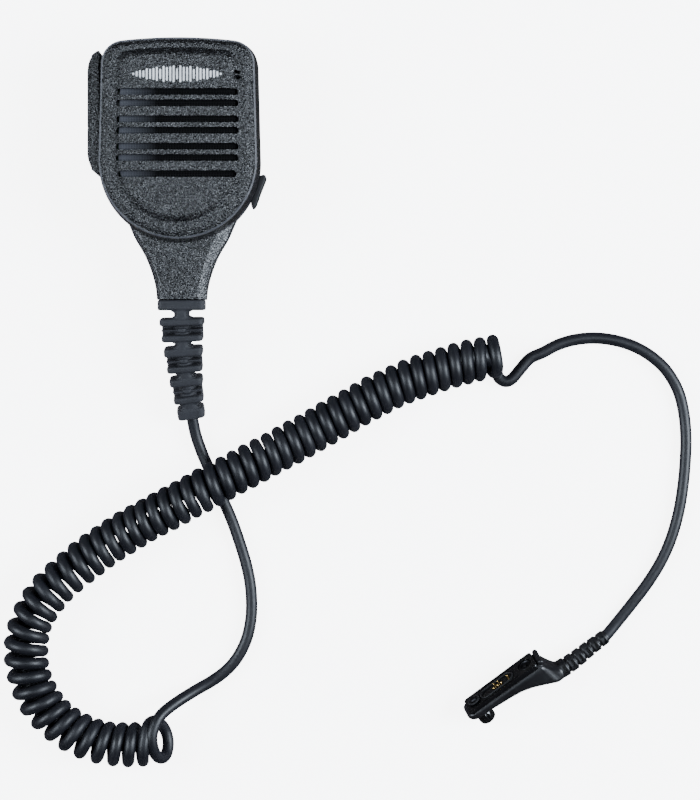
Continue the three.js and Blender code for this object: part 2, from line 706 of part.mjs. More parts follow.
const micBoot = [[3.1, 30.2], [3.7, 30.2], [3.7, 24.6], [0.8, 24.6], [0.8, 25.2], [3.1, 25.2], [3.1, 30.2]];
add(head, "microphone_capsule", rod(...MIC_AT, 2.8, 25.5, 29.2), steel);
add(head, "microphone_boot", turned(micBoot, ...MIC_AT, 16), rubber);

HOUSING_SCREWS.forEach(([x, y], i) => {
  add(head, `housing_screw_${i + 1}`, housingScrew(x, y), steel);
});

add(head, "clip_base", clipBase(), steel);
add(head, "clip_lever", clipLever(), darkPlastic);
add(head, "clip_pin", rodAlong("x", -9.9, 9.9, CLIP_PIN_Y, CLIP_PIN_Z, 1.1), steel);
add(head, "clip_spring", clipSpring(), steel);
add(head, "clip_screw", clipScrew(), steel);

const clampPlate = cut(
  raised(roundedRect(-9, 9, CLAMP_Y - 3, CLAMP_Y + 3, 1), 17.4, 19.2),
  rod(-CLAMP_SCREW_X, CLAMP_Y, 1.3, 17, 20, 10),
  rod(CLAMP_SCREW_X, CLAMP_Y, 1.3, 17, 20, 10),
);
add(head, "cable_clamp", clampPlate, steel);
add(head, "clamp_screw_1", clampScrew(-CLAMP_SCREW_X), steel);
add(head, "clamp_screw_2", clampScrew(CLAMP_SCREW_X), steel);
add(head, "cord_inner_end", rodAlong("y", NECK_END + 8 + GAP, -12, NECK_LEAN / 2, CORD_Z, CORD_RADIUS), cordJacket);

add(part, "cable_boot", cableBoot(), rubber);
add(part, "cord_lead", swept(LEAD_ROUTE, CORD_RADIUS, 8, 24), cordJacket);
add(part, "cord_coil", swept(COIL_ROUTE, COIL_RADIUS, 12, 40), cordJacket);
add(part, "cord_tail", swept(TAIL_ROUTE, CORD_RADIUS, 8, 30), cordJacket);
add(part, "plug_boot", plugBoot(), rubber);

const plug = new THREE.Group();
plug.position.copy(PLUG_AT);
plug.rotation.copy(PLUG_TURN);
part.add(plug);
add(plug, "plug_body", plugBody(), darkPlastic);
add(plug, "contact_block", contactBlock(), darkPlastic);
add(plug, "contact_seal", contactSeal(), rubber);
PIN_PLACES.forEach(([x, y], i) => {
  add(plug, `contact_pin_${i + 1}`, contactPin(x, y), gold);
});
add(plug, "antenna_contact", antennaContact(), gold);
add(plug, "thumb_screw", thumbScrew(), darkPlastic);
add(plug, "screw_ring", screwRing(), steel);

export default part;
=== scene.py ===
# The hand microphone's visual model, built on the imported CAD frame.
# Shapes are worked out in millimetres in the row frame, and objects are stored in metres.
import math

import bmesh
import bpy
from mathutils import Euler, Matrix, Vector


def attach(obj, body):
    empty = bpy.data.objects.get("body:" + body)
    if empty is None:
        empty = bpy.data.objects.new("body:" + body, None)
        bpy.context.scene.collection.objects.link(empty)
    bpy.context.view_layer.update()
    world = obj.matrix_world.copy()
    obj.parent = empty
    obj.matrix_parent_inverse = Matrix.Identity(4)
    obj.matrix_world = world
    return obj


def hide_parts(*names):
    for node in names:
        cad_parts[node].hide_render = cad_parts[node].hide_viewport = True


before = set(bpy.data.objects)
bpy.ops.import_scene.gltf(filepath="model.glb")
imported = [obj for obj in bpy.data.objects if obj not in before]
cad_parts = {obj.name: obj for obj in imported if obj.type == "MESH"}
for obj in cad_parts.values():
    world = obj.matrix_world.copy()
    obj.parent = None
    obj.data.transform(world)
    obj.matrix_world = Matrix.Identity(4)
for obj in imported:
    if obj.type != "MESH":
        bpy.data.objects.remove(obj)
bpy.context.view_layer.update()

MM = 0.001
UP = Vector((0, 0, 1))

# ---- driving dimensions
# head, as in the CAD model
SHIFT_X = 0.673  # the head's middle line
SHELL_HALF_WIDTH = 30.4
SHELL_TOP = 49.0
SHOULDER_TAPER = 0.9
CORNER_RADIUS = 9.5
CROWN_ANGLE = math.radians(6.5)
ARC_Y = 2.6
WALL = 2.2
BACK_Z = 9.0
REAR_RIM_Z = 20.4
FRONT_RIM_Z = 20.8
ROOF_Z = 27.5
PANEL_Z = 33.5
PANEL_HALF_WIDTH = 24.0
PANEL_TOP = 44.4
PANEL_CORNER = 6.0
HOUSING_SCREWS = [(24.5, 38.5), (-24.5, 38.5), (14, -17), (-14, -17)]

SLOT_COUNT = 7
FIRST_SLOT_Y = 27.4
SLOT_PITCH = 10.15
SLOT_STEP = 4.2
SLOT_HALF_LENGTH = 22.8
SLOT_RADIUS = 1.25
MICROPHONE_HOLES_X = 22.2
MICROPHONE_HOLES_Y = (34.8, 32.9)
MARK_Y = 33.9
MARK_HALF_LENGTH = 16.2

CLIP_HUB_Y = 16.0
CLIP_PIN_Y = 23.0
CLIP_PIN_Z = 4.7
CLIP_JAW_Y = -14.0

COVER_ANGLE = math.radians(-20.4)
JACK_Z = 14.6

# cord
CORD_DIAMETER = 4.5
COIL_WIND_RADIUS = 6.3  # from the coil's middle line to the middle of the wire

# plug: x from the tip to the cord, z out of the contact face
PLUG_AT = Vector((122.1, -194.4, 10.1))
PLUG_TURN = Euler((math.radians(-64), math.radians(-4), math.radians(37)), "XYZ")

def add_to_scene(made):
    bpy.context.scene.collection.objects.link(made)


# ---- camera
VIEW_X, VIEW_Y, VIEW_HEIGHT = 64.8, -87.0, 900.0
VIEW_TALL = 308.0  # how much of the floor the picture's long side covers

camera_data = bpy.data.cameras.new("camera")
camera = bpy.data.objects.new("camera", camera_data)
add_to_scene(camera)
camera.location = (VIEW_X * MM, VIEW_Y * MM, VIEW_HEIGHT * MM)
camera_data.sensor_width = 36
camera_data.lens = 36 * VIEW_HEIGHT / VIEW_TALL
bpy.context.scene.camera = camera


# ---- node helpers
def new_material(name):
    material = bpy.data.materials.new(name)
    material.use_nodes = True
    nodes = material.node_tree.nodes
    return material, nodes, material.node_tree.links, nodes["Principled BSDF"]


def put(node, socket, value):
    node.inputs[socket].default_value = value


def object_coordinates(nodes):
    return nodes.new("ShaderNodeTexCoord").outputs["Object"]


def noise(nodes, links, coordinates, size_mm, detail=3.0, roughness=0.55):
    """Noise whose features are about size_mm across."""
    texture = nodes.new("ShaderNodeTexNoise")
    put(texture, "Scale", 1000 / size_mm)
    put(texture, "Detail", detail)
    put(texture, "Roughness", roughness)
    links.new(coordinates, texture.inputs["Vector"])
    return texture.outputs["Fac"]


def remap(nodes, links, value, low, high, to_low, to_high):
    node = nodes.new("ShaderNodeMapRange")
    links.new(value, node.inputs["Value"])
    put(node, "From Min", low)
    put(node, "From Max", high)
    put(node, "To Min", to_low)
    put(node, "To Max", to_high)
    return node.outputs["Result"]


def mix_colors(nodes, links, factor, first, second):
    node = nodes.new("ShaderNodeMix")
    node.data_type = "RGBA"
    links.new(factor, node.inputs["Factor"])
    for socket, value in ((node.inputs["A"], first), (node.inputs["B"], second)):
        if isinstance(value, tuple):
            socket.default_value = (*value, 1)
        else:
            links.new(value, socket)
    return node.outputs["Result"]


def bump(nodes, links, height, depth_mm, under=None):
    node = nodes.new("ShaderNodeBump")
    put(node, "Distance", depth_mm * MM)
    links.new(height, node.inputs["Height"])
    if under is not None:
        links.new(under, node.inputs["Normal"])
    return node.outputs["Normal"]


# ---- materials
def grained_plastic(name, dark, light, grain_mm, depth_mm, rough_low, rough_high, specular):
    """Spark-eroded plastic: small facets that each catch the light a little differently."""
    material, nodes, links, shader = new_material(name)
    place = object_coordinates(nodes)
    grain = noise(nodes, links, place, grain_mm, 1.5, 0.6)
    fine = noise(nodes, links, place, grain_mm * 0.5, 1.0, 0.5)
    broad = noise(nodes, links, place, 14, 2.0)
    speck = remap(nodes, links, grain, 0.5, 0.68, 0.0, 1.0)
    color = mix_colors(nodes, links, speck, dark, light)
    worn = remap(nodes, links, broad, 0.35, 0.7, 0.0, 0.12)
    faded = mix_colors(nodes, links, worn, color, tuple(c * 1.3 for c in light))
    links.new(faded, shader.inputs["Base Color"])
    links.new(remap(nodes, links, grain, 0.35, 0.7, rough_high, rough_low), shader.inputs["Roughness"])
    put(shader, "Specular IOR Level", specular)
    coarse = bump(nodes, links, grain, depth_mm)
    links.new(bump(nodes, links, fine, depth_mm * 0.5, coarse), shader.inputs["Normal"])
    return material


def smooth_plastic(name, color, rough_low, rough_high, specular=0.5, depth_mm=0.006, coat=0.0):
    """Moulded plastic or rubber with a faint orange peel, soft blotches and fine rubbed marks."""
    material, nodes, links, shader = new_material(name)
    place = object_coordinates(nodes)
    peel = noise(nodes, links, place, 0.7, 3.0)
    blotch = noise(nodes, links, place, 9, 3.0, 0.6)
    stretch = nodes.new("ShaderNodeMapping")
    put(stretch, "Scale", (1.0, 0.12, 1.0))
    links.new(place, stretch.inputs["Vector"])
    rubbed = noise(nodes, links, stretch.outputs["Vector"], 0.35, 2.0)
    shade = remap(nodes, links, blotch, 0.3, 0.7, 0.0, 1.0)
    tone = mix_colors(nodes, links, shade, tuple(c * 0.82 for c in color), tuple(c * 1.25 for c in color))
    links.new(tone, shader.inputs["Base Color"])
    rough = remap(nodes, links, blotch, 0.3, 0.7, rough_low, rough_high)
    marks = remap(nodes, links, rubbed, 0.55, 0.75, 0.0, 0.08)
    total = nodes.new("ShaderNodeMath")
    total.operation = "ADD"
    links.new(rough, total.inputs[0])
    links.new(marks, total.inputs[1])
    links.new(total.outputs[0], shader.inputs["Roughness"])
    put(shader, "Specular IOR Level", specular)
    put(shader, "Coat Weight", coat)
    links.new(bump(nodes, links, peel, depth_mm), shader.inputs["Normal"])
    return material


def metal(name, color, rough_low, rough_high):
    """Plated metal with a brushed direction and slightly dulled patches."""
    material, nodes, links, shader = new_material(name)
    place = object_coordinates(nodes)
    stretch = nodes.new("ShaderNodeMapping")
    put(stretch, "Scale", (1.0, 0.08, 1.0))
    links.new(place, stretch.inputs["Vector"])
    hair = noise(nodes, links, stretch.outputs["Vector"], 0.12, 2.0)
    patch = noise(nodes, links, place, 3, 3.0)
    tone = mix_colors(
        nodes, links, remap(nodes, links, patch, 0.35, 0.7, 0, 1), color, tuple(c * 0.7 for c in color)
    )
    links.new(tone, shader.inputs["Base Color"])
    put(shader, "Metallic", 1.0)
    links.new(remap(nodes, links, patch, 0.3, 0.7, rough_low, rough_high), shader.inputs["Roughness"])
    links.new(bump(nodes, links, hair, 0.004), shader.inputs["Normal"])
    return material


PAINTED_LIGHT_FADE = (-20 * MM, -7 * MM)  # where the painted light on the cloth's left end fades out, from left to right


def woven(name, color, thread_mm, painted_light=None):
    """Fine cloth or foam: two crossed sets of threads. Its optional lighter tone for the left end is painted
    light, as where light falls into the slots.
    """
    material, nodes, links, shader = new_material(name)
    place = object_coordinates(nodes)
    heights = []
    for direction in ("X", "Y"):
        wave = nodes.new("ShaderNodeTexWave")
        wave.bands_direction = direction
        put(wave, "Scale", 0.5 / (thread_mm * MM) / math.pi)
        put(wave, "Distortion", 0.6)
        links.new(place, wave.inputs["Vector"])
        heights.append(wave.outputs["Fac"])
    cross = nodes.new("ShaderNodeMath")
    cross.operation = "MAXIMUM"
    links.new(heights[0], cross.inputs[0])
    links.new(heights[1], cross.inputs[1])
    tone = mix_colors(nodes, links, cross.outputs[0], tuple(c * 0.4 for c in color), color)
    if painted_light:
        # painted light: a lighter tone on the left end, as where light falls into the slots
        split = nodes.new("ShaderNodeSeparateXYZ")
        links.new(place, split.inputs["Vector"])
        painted_light_mask = remap(nodes, links, split.outputs["X"], *PAINTED_LIGHT_FADE, 1, 0)
        tone = mix_colors(nodes, links, painted_light_mask, tone, painted_light)
    links.new(tone, shader.inputs["Base Color"])
    put(shader, "Roughness", 0.9)
    put(shader, "Specular IOR Level", 0.1)
    links.new(bump(nodes, links, cross.outputs[0], thread_mm * 0.3), shader.inputs["Normal"])
    return material


SHELL = grained_plastic(
    "shell_grain", (0.001, 0.0011, 0.0015), (0.015, 0.0156, 0.0185), 0.9, 0.5, 0.2, 0.32, 0.66
)
SHELL_SMOOTH = smooth_plastic("shell_smooth", (0.01, 0.0105, 0.0125), 0.42, 0.52, 0.5)
SLOPE = grained_plastic(
    "fine_grain", (0.002, 0.0021, 0.0027), (0.02, 0.021, 0.025), 0.85, 0.34, 0.22, 0.34, 1.0
)
BAR_RUBBER = grained_plastic(
    "talk_bar_rubber", (0.001, 0.0011, 0.0015), (0.011, 0.0115, 0.0138), 0.85, 0.4, 0.22, 0.34, 0.55
)
# the bead's satin finish is real; its lighter colour is a painted highlight line all round
BEAD_PAINTED_HIGHLIGHT = smooth_plastic("bead_edge_painted_highlight", (0.05, 0.052, 0.06), 0.3, 0.4, 0.9)
BOOT_RUBBER = smooth_plastic("boot_rubber", (0.0125, 0.013, 0.0165), 0.6, 0.72, 0.4, 0.012)
DARK_RUBBER = smooth_plastic("dark_rubber", (0.004, 0.004, 0.005), 0.5, 0.62, 0.45, 0.01)
CORD_JACKET = smooth_plastic("cord_jacket", (0.0036, 0.004, 0.0064), 0.42, 0.52, 0.45, 0.006)
PLUG_SATIN = smooth_plastic("plug_satin", (0.004, 0.004, 0.005), 0.3, 0.42, 0.5, 0.008)
PLUG_GLOSS = smooth_plastic("plug_gloss", (0.0025, 0.0025, 0.003), 0.12, 0.2, 0.5, 0.002, 0.3)
CLIP_PLASTIC = smooth_plastic("clip_plastic", (0.006, 0.006, 0.007), 0.35, 0.48, 0.5, 0.01)
STEEL = metal("plated_steel", (0.56, 0.57, 0.58), 0.24, 0.38)
DARK_STEEL = metal("blackened_steel", (0.06, 0.06, 0.065), 0.35, 0.5)
GOLD = metal("gold_plate", (0.86, 0.57, 0.2), 0.18, 0.3)
PRINT = smooth_plastic("white_print", (0.72, 0.73, 0.74), 0.5, 0.6, 0.3, 0.004)
BOARD = smooth_plastic("solder_mask", (0.012, 0.07, 0.03), 0.25, 0.35, 0.5, 0.01)
PAPER = woven("cone_paper", (0.04, 0.04, 0.037), 0.5)
# the cloth's lighter left-end tone is painted light falling into the slots
CLOTH_WITH_PAINTED_LIGHT = woven("grille_cloth_weave_painted_light", (0.0012, 0.0012, 0.0015), 0.3, (0.05, 0.052, 0.06))


# ---- mesh helpers
def make_object(name, points, faces, material, sharp_degrees=35):
    """A mesh object from points in millimetres."""
    mesh = bpy.data.meshes.new(name)
    mesh.from_pydata([Vector(p) * MM for p in points], [], faces)
    mesh.materials.append(material)
    made = bpy.data.objects.new(name, mesh)
    add_to_scene(made)
    fix_normals(made)
    shade(made, sharp_degrees)
    return made


def fix_normals(made):
    work = bmesh.new()
    work.from_mesh(made.data)
    bmesh.ops.recalc_face_normals(work, faces=work.faces)
    work.to_mesh(made.data)
    work.free()


def shade(made, sharp_degrees=35):
    made.data.shade_smooth()
    made.data.set_sharp_from_angle(angle=math.radians(sharp_degrees))


def apply_modifiers(made):
    view = bpy.context.evaluated_depsgraph_get()
    view.update()
    mesh = bpy.data.meshes.new_from_object(made.evaluated_get(view))
    old = made.data
    made.modifiers.clear()
    made.data = mesh
    bpy.data.meshes.remove(old)


def discard(made):
    mesh = made.data
    bpy.data.objects.remove(made)
    bpy.data.meshes.remove(mesh)


def merge(name, pieces):
    """Joins mesh objects into one, keeping their materials."""
    materials = []
    work = bmesh.new()
    for piece in pieces:
        start = len(work.faces)
        work.from_mesh(piece.data)
        work.faces.ensure_lookup_table()
        slots = []
        for material in piece.data.materials:
            if material not in materials:
                materials.append(material)
            slots.append(materials.index(material))
        for face in work.faces[start:]:
            face.material_index = slots[min(face.material_index, len(slots) - 1)]
    mesh = bpy.data.meshes.new(name)
    work.to_mesh(mesh)
    work.free()
    for material in materials:
        mesh.materials.append(material)
    for piece in pieces:
        discard(piece)
    made = bpy.data.objects.new(name, mesh)
    add_to_scene(made)
    return made


def cut_away(made, cutters, sharp_degrees=35):
    """Takes the cutters out of an object and removes them."""
    tool = merge("cutter", cutters)
    modifier = made.modifiers.new("cut", "BOOLEAN")
    modifier.operation = "DIFFERENCE"
    modifier.solver = "EXACT"
    modifier.use_self = True
    modifier.object = tool
    apply_modifiers(made)
    discard(tool)
    shade(made, sharp_degrees)


def round_edges(made, width_mm, segments=3, angle=40):
    modifier = made.modifiers.new("round", "BEVEL")
    modifier.width = width_mm * MM
    modifier.segments = segments
    modifier.limit_method = "ANGLE"
    modifier.angle_limit = math.radians(angle)
    apply_modifiers(made)
    shade(made, 50)


def remesh(made, voxel_mm, smooth_steps=4):
    """Fuses overlapping solids into one soft moulded body."""
    modifier = made.modifiers.new("fuse", "REMESH")
    modifier.mode = "VOXEL"
    modifier.voxel_size = voxel_mm * MM
    modifier.use_smooth_shade = True
    relax = made.modifiers.new("relax", "SMOOTH")
    relax.factor = 0.5
    relax.iterations = smooth_steps
    material = made.data.materials[0]
    apply_modifiers(made)
    made.data.materials.clear()
    made.data.materials.append(material)
    made.data.shade_smooth()


def loft_faces(ring_count, size, caps=True):
    faces = []
    for ring in range(ring_count - 1):
        for i in range(size):
            j = (i + 1) % size
            faces.append((ring * size + i, ring * size + j, (ring + 1) * size + j, (ring + 1) * size + i))
    if caps:
        faces.append(tuple(range(size - 1, -1, -1)))
        faces.append(tuple((ring_count - 1) * size + i for i in range(size)))
    return faces


def loft(name, rings, material, sharp_degrees=35):
    points = [p for ring in rings for p in ring]
    return make_object(name, points, loft_faces(len(rings), len(rings[0])), material, sharp_degrees)


def hoop(name, rings, material):
    """A loft whose last ring joins its first, so that a hole goes through it."""
    size = len(rings[0])
    last = (len(rings) - 1) * size
    faces = loft_faces(len(rings), size, False)
    faces += [(last + i, last + (i + 1) % size, (i + 1) % size, i) for i in range(size)]
    return make_object(name, [p for ring in rings for p in ring], faces, material)


def arc(cx, cy, radius, start, end, steps):
    angles = [start + (end - start) * i / steps for i in range(steps + 1)]
    return [(cx + radius * math.cos(angle), cy + radius * math.sin(angle)) for angle in angles]


def circle(cx, cy, radius, sides):
    return arc(cx, cy, radius, 0, math.tau, sides)[:-1]


def rounded_rect(x0, x1, y0, y1, radius, steps=6):
    quarter = math.pi / 2
    return (
        arc(x1 - radius, y1 - radius, radius, 0, quarter, steps)
        + arc(x0 + radius, y1 - radius, radius, quarter, 2 * quarter, steps)
        + arc(x0 + radius, y0 + radius, radius, 2 * quarter, 3 * quarter, steps)
        + arc(x1 - radius, y0 + radius, radius, 3 * quarter, 4 * quarter, steps)
    )


def prism(name, outline, z0, z1, material, shift=SHIFT_X):
    rings = [[(x + shift, y, z) for x, y in outline] for z in (z0, z1)]
    return loft(name, rings, material)


def turned(name, profile, material, at=(0, 0), sides=48):
    """Turns [radius, z] pairs about a vertical axis; the first and last radius may be 0."""
    rings = []
    for radius, z in profile:
        rings.append([(x, y, z) for x, y in circle(*at, max(radius, 1e-3), sides)])
    return loft(name, rings, material)


def place(made, matrix):
    """Moves a mesh's own points, so that its object stays at the origin. The matrix is in millimetres."""
    move = matrix.copy()
    move.translation = move.translation * MM
    made.data.transform(move)
    return made


def catmull(points, steps):
    """A smooth line through the points, with steps pieces between neighbours."""
    known = [Vector(p) for p in points]
    known = [known[0] * 2 - known[1], *known, known[-1] * 2 - known[-2]]
    line = []
    for i in range(1, len(known) - 2):
        before, start, end, after = known[i - 1 : i + 3]
        square = 2 * before - 5 * start + 4 * end - after
        cube = 3 * start - before - 3 * end + after
        for step in range(steps):
            t = step / steps
            line.append(0.5 * (2 * start + (end - before) * t + square * t**2 + cube * t**3))
    line.append(known[-2])
    return line


def lengths_along(line):
    total = [0.0]
    for a, b in zip(line, line[1:]):
        total.append(total[-1] + (b - a).length)
    return total


def point_at(line, lengths, want):
    """The point at a length along a line, and the direction there."""
    want = min(max(want, 0.0), lengths[-1] - 1e-6)
    low, high = 0, len(lengths) - 1
    while high - low > 1:
        middle = (low + high) // 2
        if lengths[middle] <= want:
            low = middle
        else:
            high = middle
    part = (want - lengths[low]) / (lengths[high] - lengths[low])
    return line[low].lerp(line[high], part), (line[high] - line[low]).normalized()


def cross_axes(along):
    """The level direction across a line, and the one that is square to both."""
    side = UP.cross(along).normalized()
    return side, along.cross(side)


def round_wire(name, line, diameter, resolution, material):
    """A round curve object through points in millimetres."""
    data = bpy.data.curves.new(name, "CURVE")
    data.dimensions = "3D"
    data.bevel_depth = diameter / 2 * MM
    data.bevel_resolution = resolution
    data.use_fill_caps = True
    spline = data.splines.new("POLY")
    spline.points.add(len(line) - 1)
    for point, place_at in zip(spline.points, line):
        point.co = (*(place_at * MM), 1)
    spline.use_smooth = True
    data.materials.append(material)
    made = bpy.data.objects.new(name, data)
    add_to_scene(made)
    return made


def belongs(made, body, slot, *nodes):
    """Says which body a piece rides on and the CAD nodes it stands for, which it hides. slot, its material
    slot, is not used.
    """
    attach(made, body)
    if nodes:
        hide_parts(*nodes)
    return made


# ---- cord
def lying(height, *points):
    """Points of a route that share one height."""
    return [(x, y, height) for x, y in points]


CORD_LIE = 2.3  # middle of the cord where it lies on the surface
COIL_LIE = 8.7  # middle of the curly part where it lies on the surface
# The straight stretch from the head: it sinks to the surface, passes under the curly part and rises again.
LEAD_ROUTE = [
    (4.5, -94.1, 5.6), (5.7, -100.4, 3.7), (7.9, -107, 2.6),
    *lying(CORD_LIE, (10.2, -112.4), (13, -119), (16.6, -126.6), (19.6, -133.6), (22.2, -141)),
    *lying(CORD_LIE, (24.6, -148.7), (26.3, -156.3), (27, -164), (26.7, -171.5), (25, -179)),
    *lying(CORD_LIE, (21.6, -185.8), (17.4, -190.7)),
    (12.2, -194.6, 2.6), (6.1, -198, 4.2), (0.2, -201.4, 7.2),
]
# The loose first turn: the straight stretch becomes the outermost strand, swings back below it
# and comes up again.
FIRST_TURN = [
    (-4.4, -204.4, 10.6), (-7.2, -206.9, 13), (-9.1, -210.2, 14.4), (-10.2, -213.8, 15),
    (-10.2, -217.4, 14.4), (-9.5, -220.7, 12.5), (-8.2, -223, 9.9), (-6.5, -223.6, 6.9),
    (-5.3, -221.8, 4), (-5, -218, 2.4), (-6, -214, 2.6), (-7.7, -211, 5), (-9.6, -209.4, 8.2),
    (-12, -210.6, 12.8),
]
# The middle line of the curly part, with a hump where it passes over the lead.
COIL_ROUTE = [
    *lying(COIL_LIE, (-5, -217.4), (-19.5, -218.4), (-32, -217), (-43.5, -211.6), (-52.3, -203.2)),
    *lying(COIL_LIE, (-57.4, -192.5), (-58.7, -181.5), (-56.6, -170.9), (-50, -160.4)),
    *lying(COIL_LIE, (-40.3, -151.3), (-29.2, -142.9)),
    (-16.2, -134.8, 10), (-2.2, -127.3, 12.2), (12.4, -119.4, 13.4), (26, -112.2, 12.2),
    (38.5, -105.6, 10),
    *lying(COIL_LIE, (50.5, -99), (63.5, -91.6), (76.2, -84.6), (88.4, -79.2), (102.2, -74.6)),
    *lying(COIL_LIE, (111.3, -72.1), (121, -70.2)),
]
# The last turn drops to the surface, bends back up beside itself and leaves in a wide curve.
TAIL_ROUTE = [
    (119.5, -65.7, 4.25), (119.8, -70, 2.45),
    *lying(CORD_LIE, (120.3, -73.4), (121.1, -76.3), (122.2, -78.7), (124.7, -79.9)),
    *lying(CORD_LIE, (127.2, -78.7), (130.4, -74.9), (134, -71), (139, -68.7), (144.6, -65.8)),
    *lying(CORD_LIE, (151, -63.9), (158.4, -63.2), (166, -64), (173.6, -66.3), (180.6, -70.3)),
    *lying(CORD_LIE, (186.4, -75.8), (190.8, -83.4), (193, -92), (193.8, -101.5), (193.5, -111)),
    *lying(CORD_LIE, (192.6, -120.5), (190.9, -130.5), (188, -140.5), (184, -149.4)),
    *lying(CORD_LIE, (179, -157.4), (173.4, -164.8)),
    (167.6, -172, 2.4), (163.5, -176.8, 3.1),
]
INSIDE_HEAD_BOOT = (4, -91, 6.5)
INSIDE_PLUG_BOOT = (160.9, -179, 3.4)
WOUND_FROM = 8.4  # length along the coil's middle line where the regular turns start
WOUND_TO = 0.8  # length before its end where they stop
TURNS = 55.25
POINTS_PER_TURN = 22
LAST_LEAN = 1.7  # how far the last turn spreads
LAST_LEAN_AT = 0.38  # turns before the end where it spreads most


def bell(x, middle, width):
    return math.exp(-(((x - middle) / width) ** 2))


def wound_wire():
    """The regular turns of the curly part: a left-handed helix round the coil's middle line."""
    line = catmull(COIL_ROUTE, 12)
    lengths = lengths_along(line)
    start, end = WOUND_FROM, lengths[-1] - WOUND_TO
    steps = 4000
    # turns are a little wider apart in the bend on the left than on the right
    turned_by = [0.0]
    for i in range(steps):
        at, _ = point_at(line, lengths, start + (end - start) * (i + 0.5) / steps)
        if at.y > -150:
            spread = 1 + 0.05 * bell(at.x, -45, 25)
        else:
            spread = 1 + 0.16 * bell(at.x, -55, 28) + 0.08 * bell(at.x, -32, 14)
        turned_by.append(turned_by[-1] + 1 / spread)
    scale = TURNS / turned_by[-1]
    wire = []
    count = int(TURNS * POINTS_PER_TURN)
    step = 0
    for i in range(count + 1):
        want = TURNS * i / count
        while step < steps - 1 and turned_by[step + 1] * scale < want:
            step += 1
        low, high = turned_by[step] * scale, turned_by[step + 1] * scale
        along = (step + (want - low) / (high - low)) / steps
        centre, forward = point_at(line, lengths, start + (end - start) * along)
        side, up = cross_axes(forward)
        phase = 2 * math.pi * want
        wobble = 0.08 * math.sin(want * 1.7) + 0.05 * math.sin(want * 0.63 + 1)
        radius = COIL_WIND_RADIUS + wobble
        lean = forward * (LAST_LEAN * max(0.0, 1 - abs(want - TURNS + LAST_LEAN_AT) / 0.4))
        wire.append(centre + lean + up * (radius * math.cos(phase)) + side * (radius * math.sin(phase)))
    return wire


def cord_line():
    wire = wound_wire()
    entry = catmull([INSIDE_HEAD_BOOT, *LEAD_ROUTE, *FIRST_TURN, wire[0], wire[4]], 4)[:-4]
    leaving = catmull([wire[-5], wire[-1], *TAIL_ROUTE, INSIDE_PLUG_BOOT], 4)[4:]
    return [*entry[:-1], *wire, *leaving[1:]]


def make_cord():
    made = round_wire("cord", cord_line(), CORD_DIAMETER, 5, CORD_JACKET)
    return belongs(made, "root", "cord_jacket", "cord_lead", "cord_coil", "cord_tail")


cord = make_cord()


# ---- head outlines
def house(half, top, corner):
    """A half circle below, slightly tapering sides and an arched top, as points in a fixed order."""
    shoulder = half - SHOULDER_TAPER
    corner_x = shoulder - corner
    end_x = corner_x + corner * math.sin(CROWN_ANGLE)
    rise = end_x * math.tan(CROWN_ANGLE)
    end_y = top - rise / 2
    corner_y = end_y - corner * math.cos(CROWN_ANGLE)
    side_steps = 10
    outline = arc(0, ARC_Y, half, math.pi, 2 * math.pi, 72)
    for i in range(1, side_steps):
        part = i / side_steps
        outline.append((half + (shoulder - half) * part, ARC_Y + (corner_y - ARC_Y) * part))
    outline += arc(corner_x, corner_y, corner, 0, math.pi / 2 - CROWN_ANGLE, 16)
    for i in range(1, 24):
        part = i / 24
        keep = 1 - part
        x = keep**2 * end_x - part**2 * end_x
        outline.append((x, keep**2 * end_y + 2 * keep * part * (end_y + rise) + part**2 * end_y))
    outline += arc(-corner_x, corner_y, corner, math.pi / 2 + CROWN_ANGLE, math.pi, 16)
    for i in range(1, side_steps):
        part = i / side_steps
        outline.append((-shoulder + (shoulder - half) * part, corner_y + (ARC_Y - corner_y) * part))
    return outline


def shell_outline(inset):
    return house(SHELL_HALF_WIDTH - inset, SHELL_TOP - inset, max(CORNER_RADIUS - inset, 1))


def panel_outline(inset):
    return house(PANEL_HALF_WIDTH - inset, PANEL_TOP - inset, PANEL_CORNER - inset)


def at_height(outline, z):
    return [(x + SHIFT_X, y, z) for x, y in outline]


def between(first, second, part):
    return [(a[0] + (b[0] - a[0]) * part, a[1] + (b[1] - a[1]) * part) for a, b in zip(first, second)]


# ---- front housing
BEAD_HIGHLIGHT_RINGS = range(11, 15)  # the shell's rings of faces that are the bead, which take the painted highlight colour


def slot_outline(x, y, half_length, radius):
    return rounded_rect(x - half_length, x + half_length, y - radius, y + radius, radius - 0.01, 8)


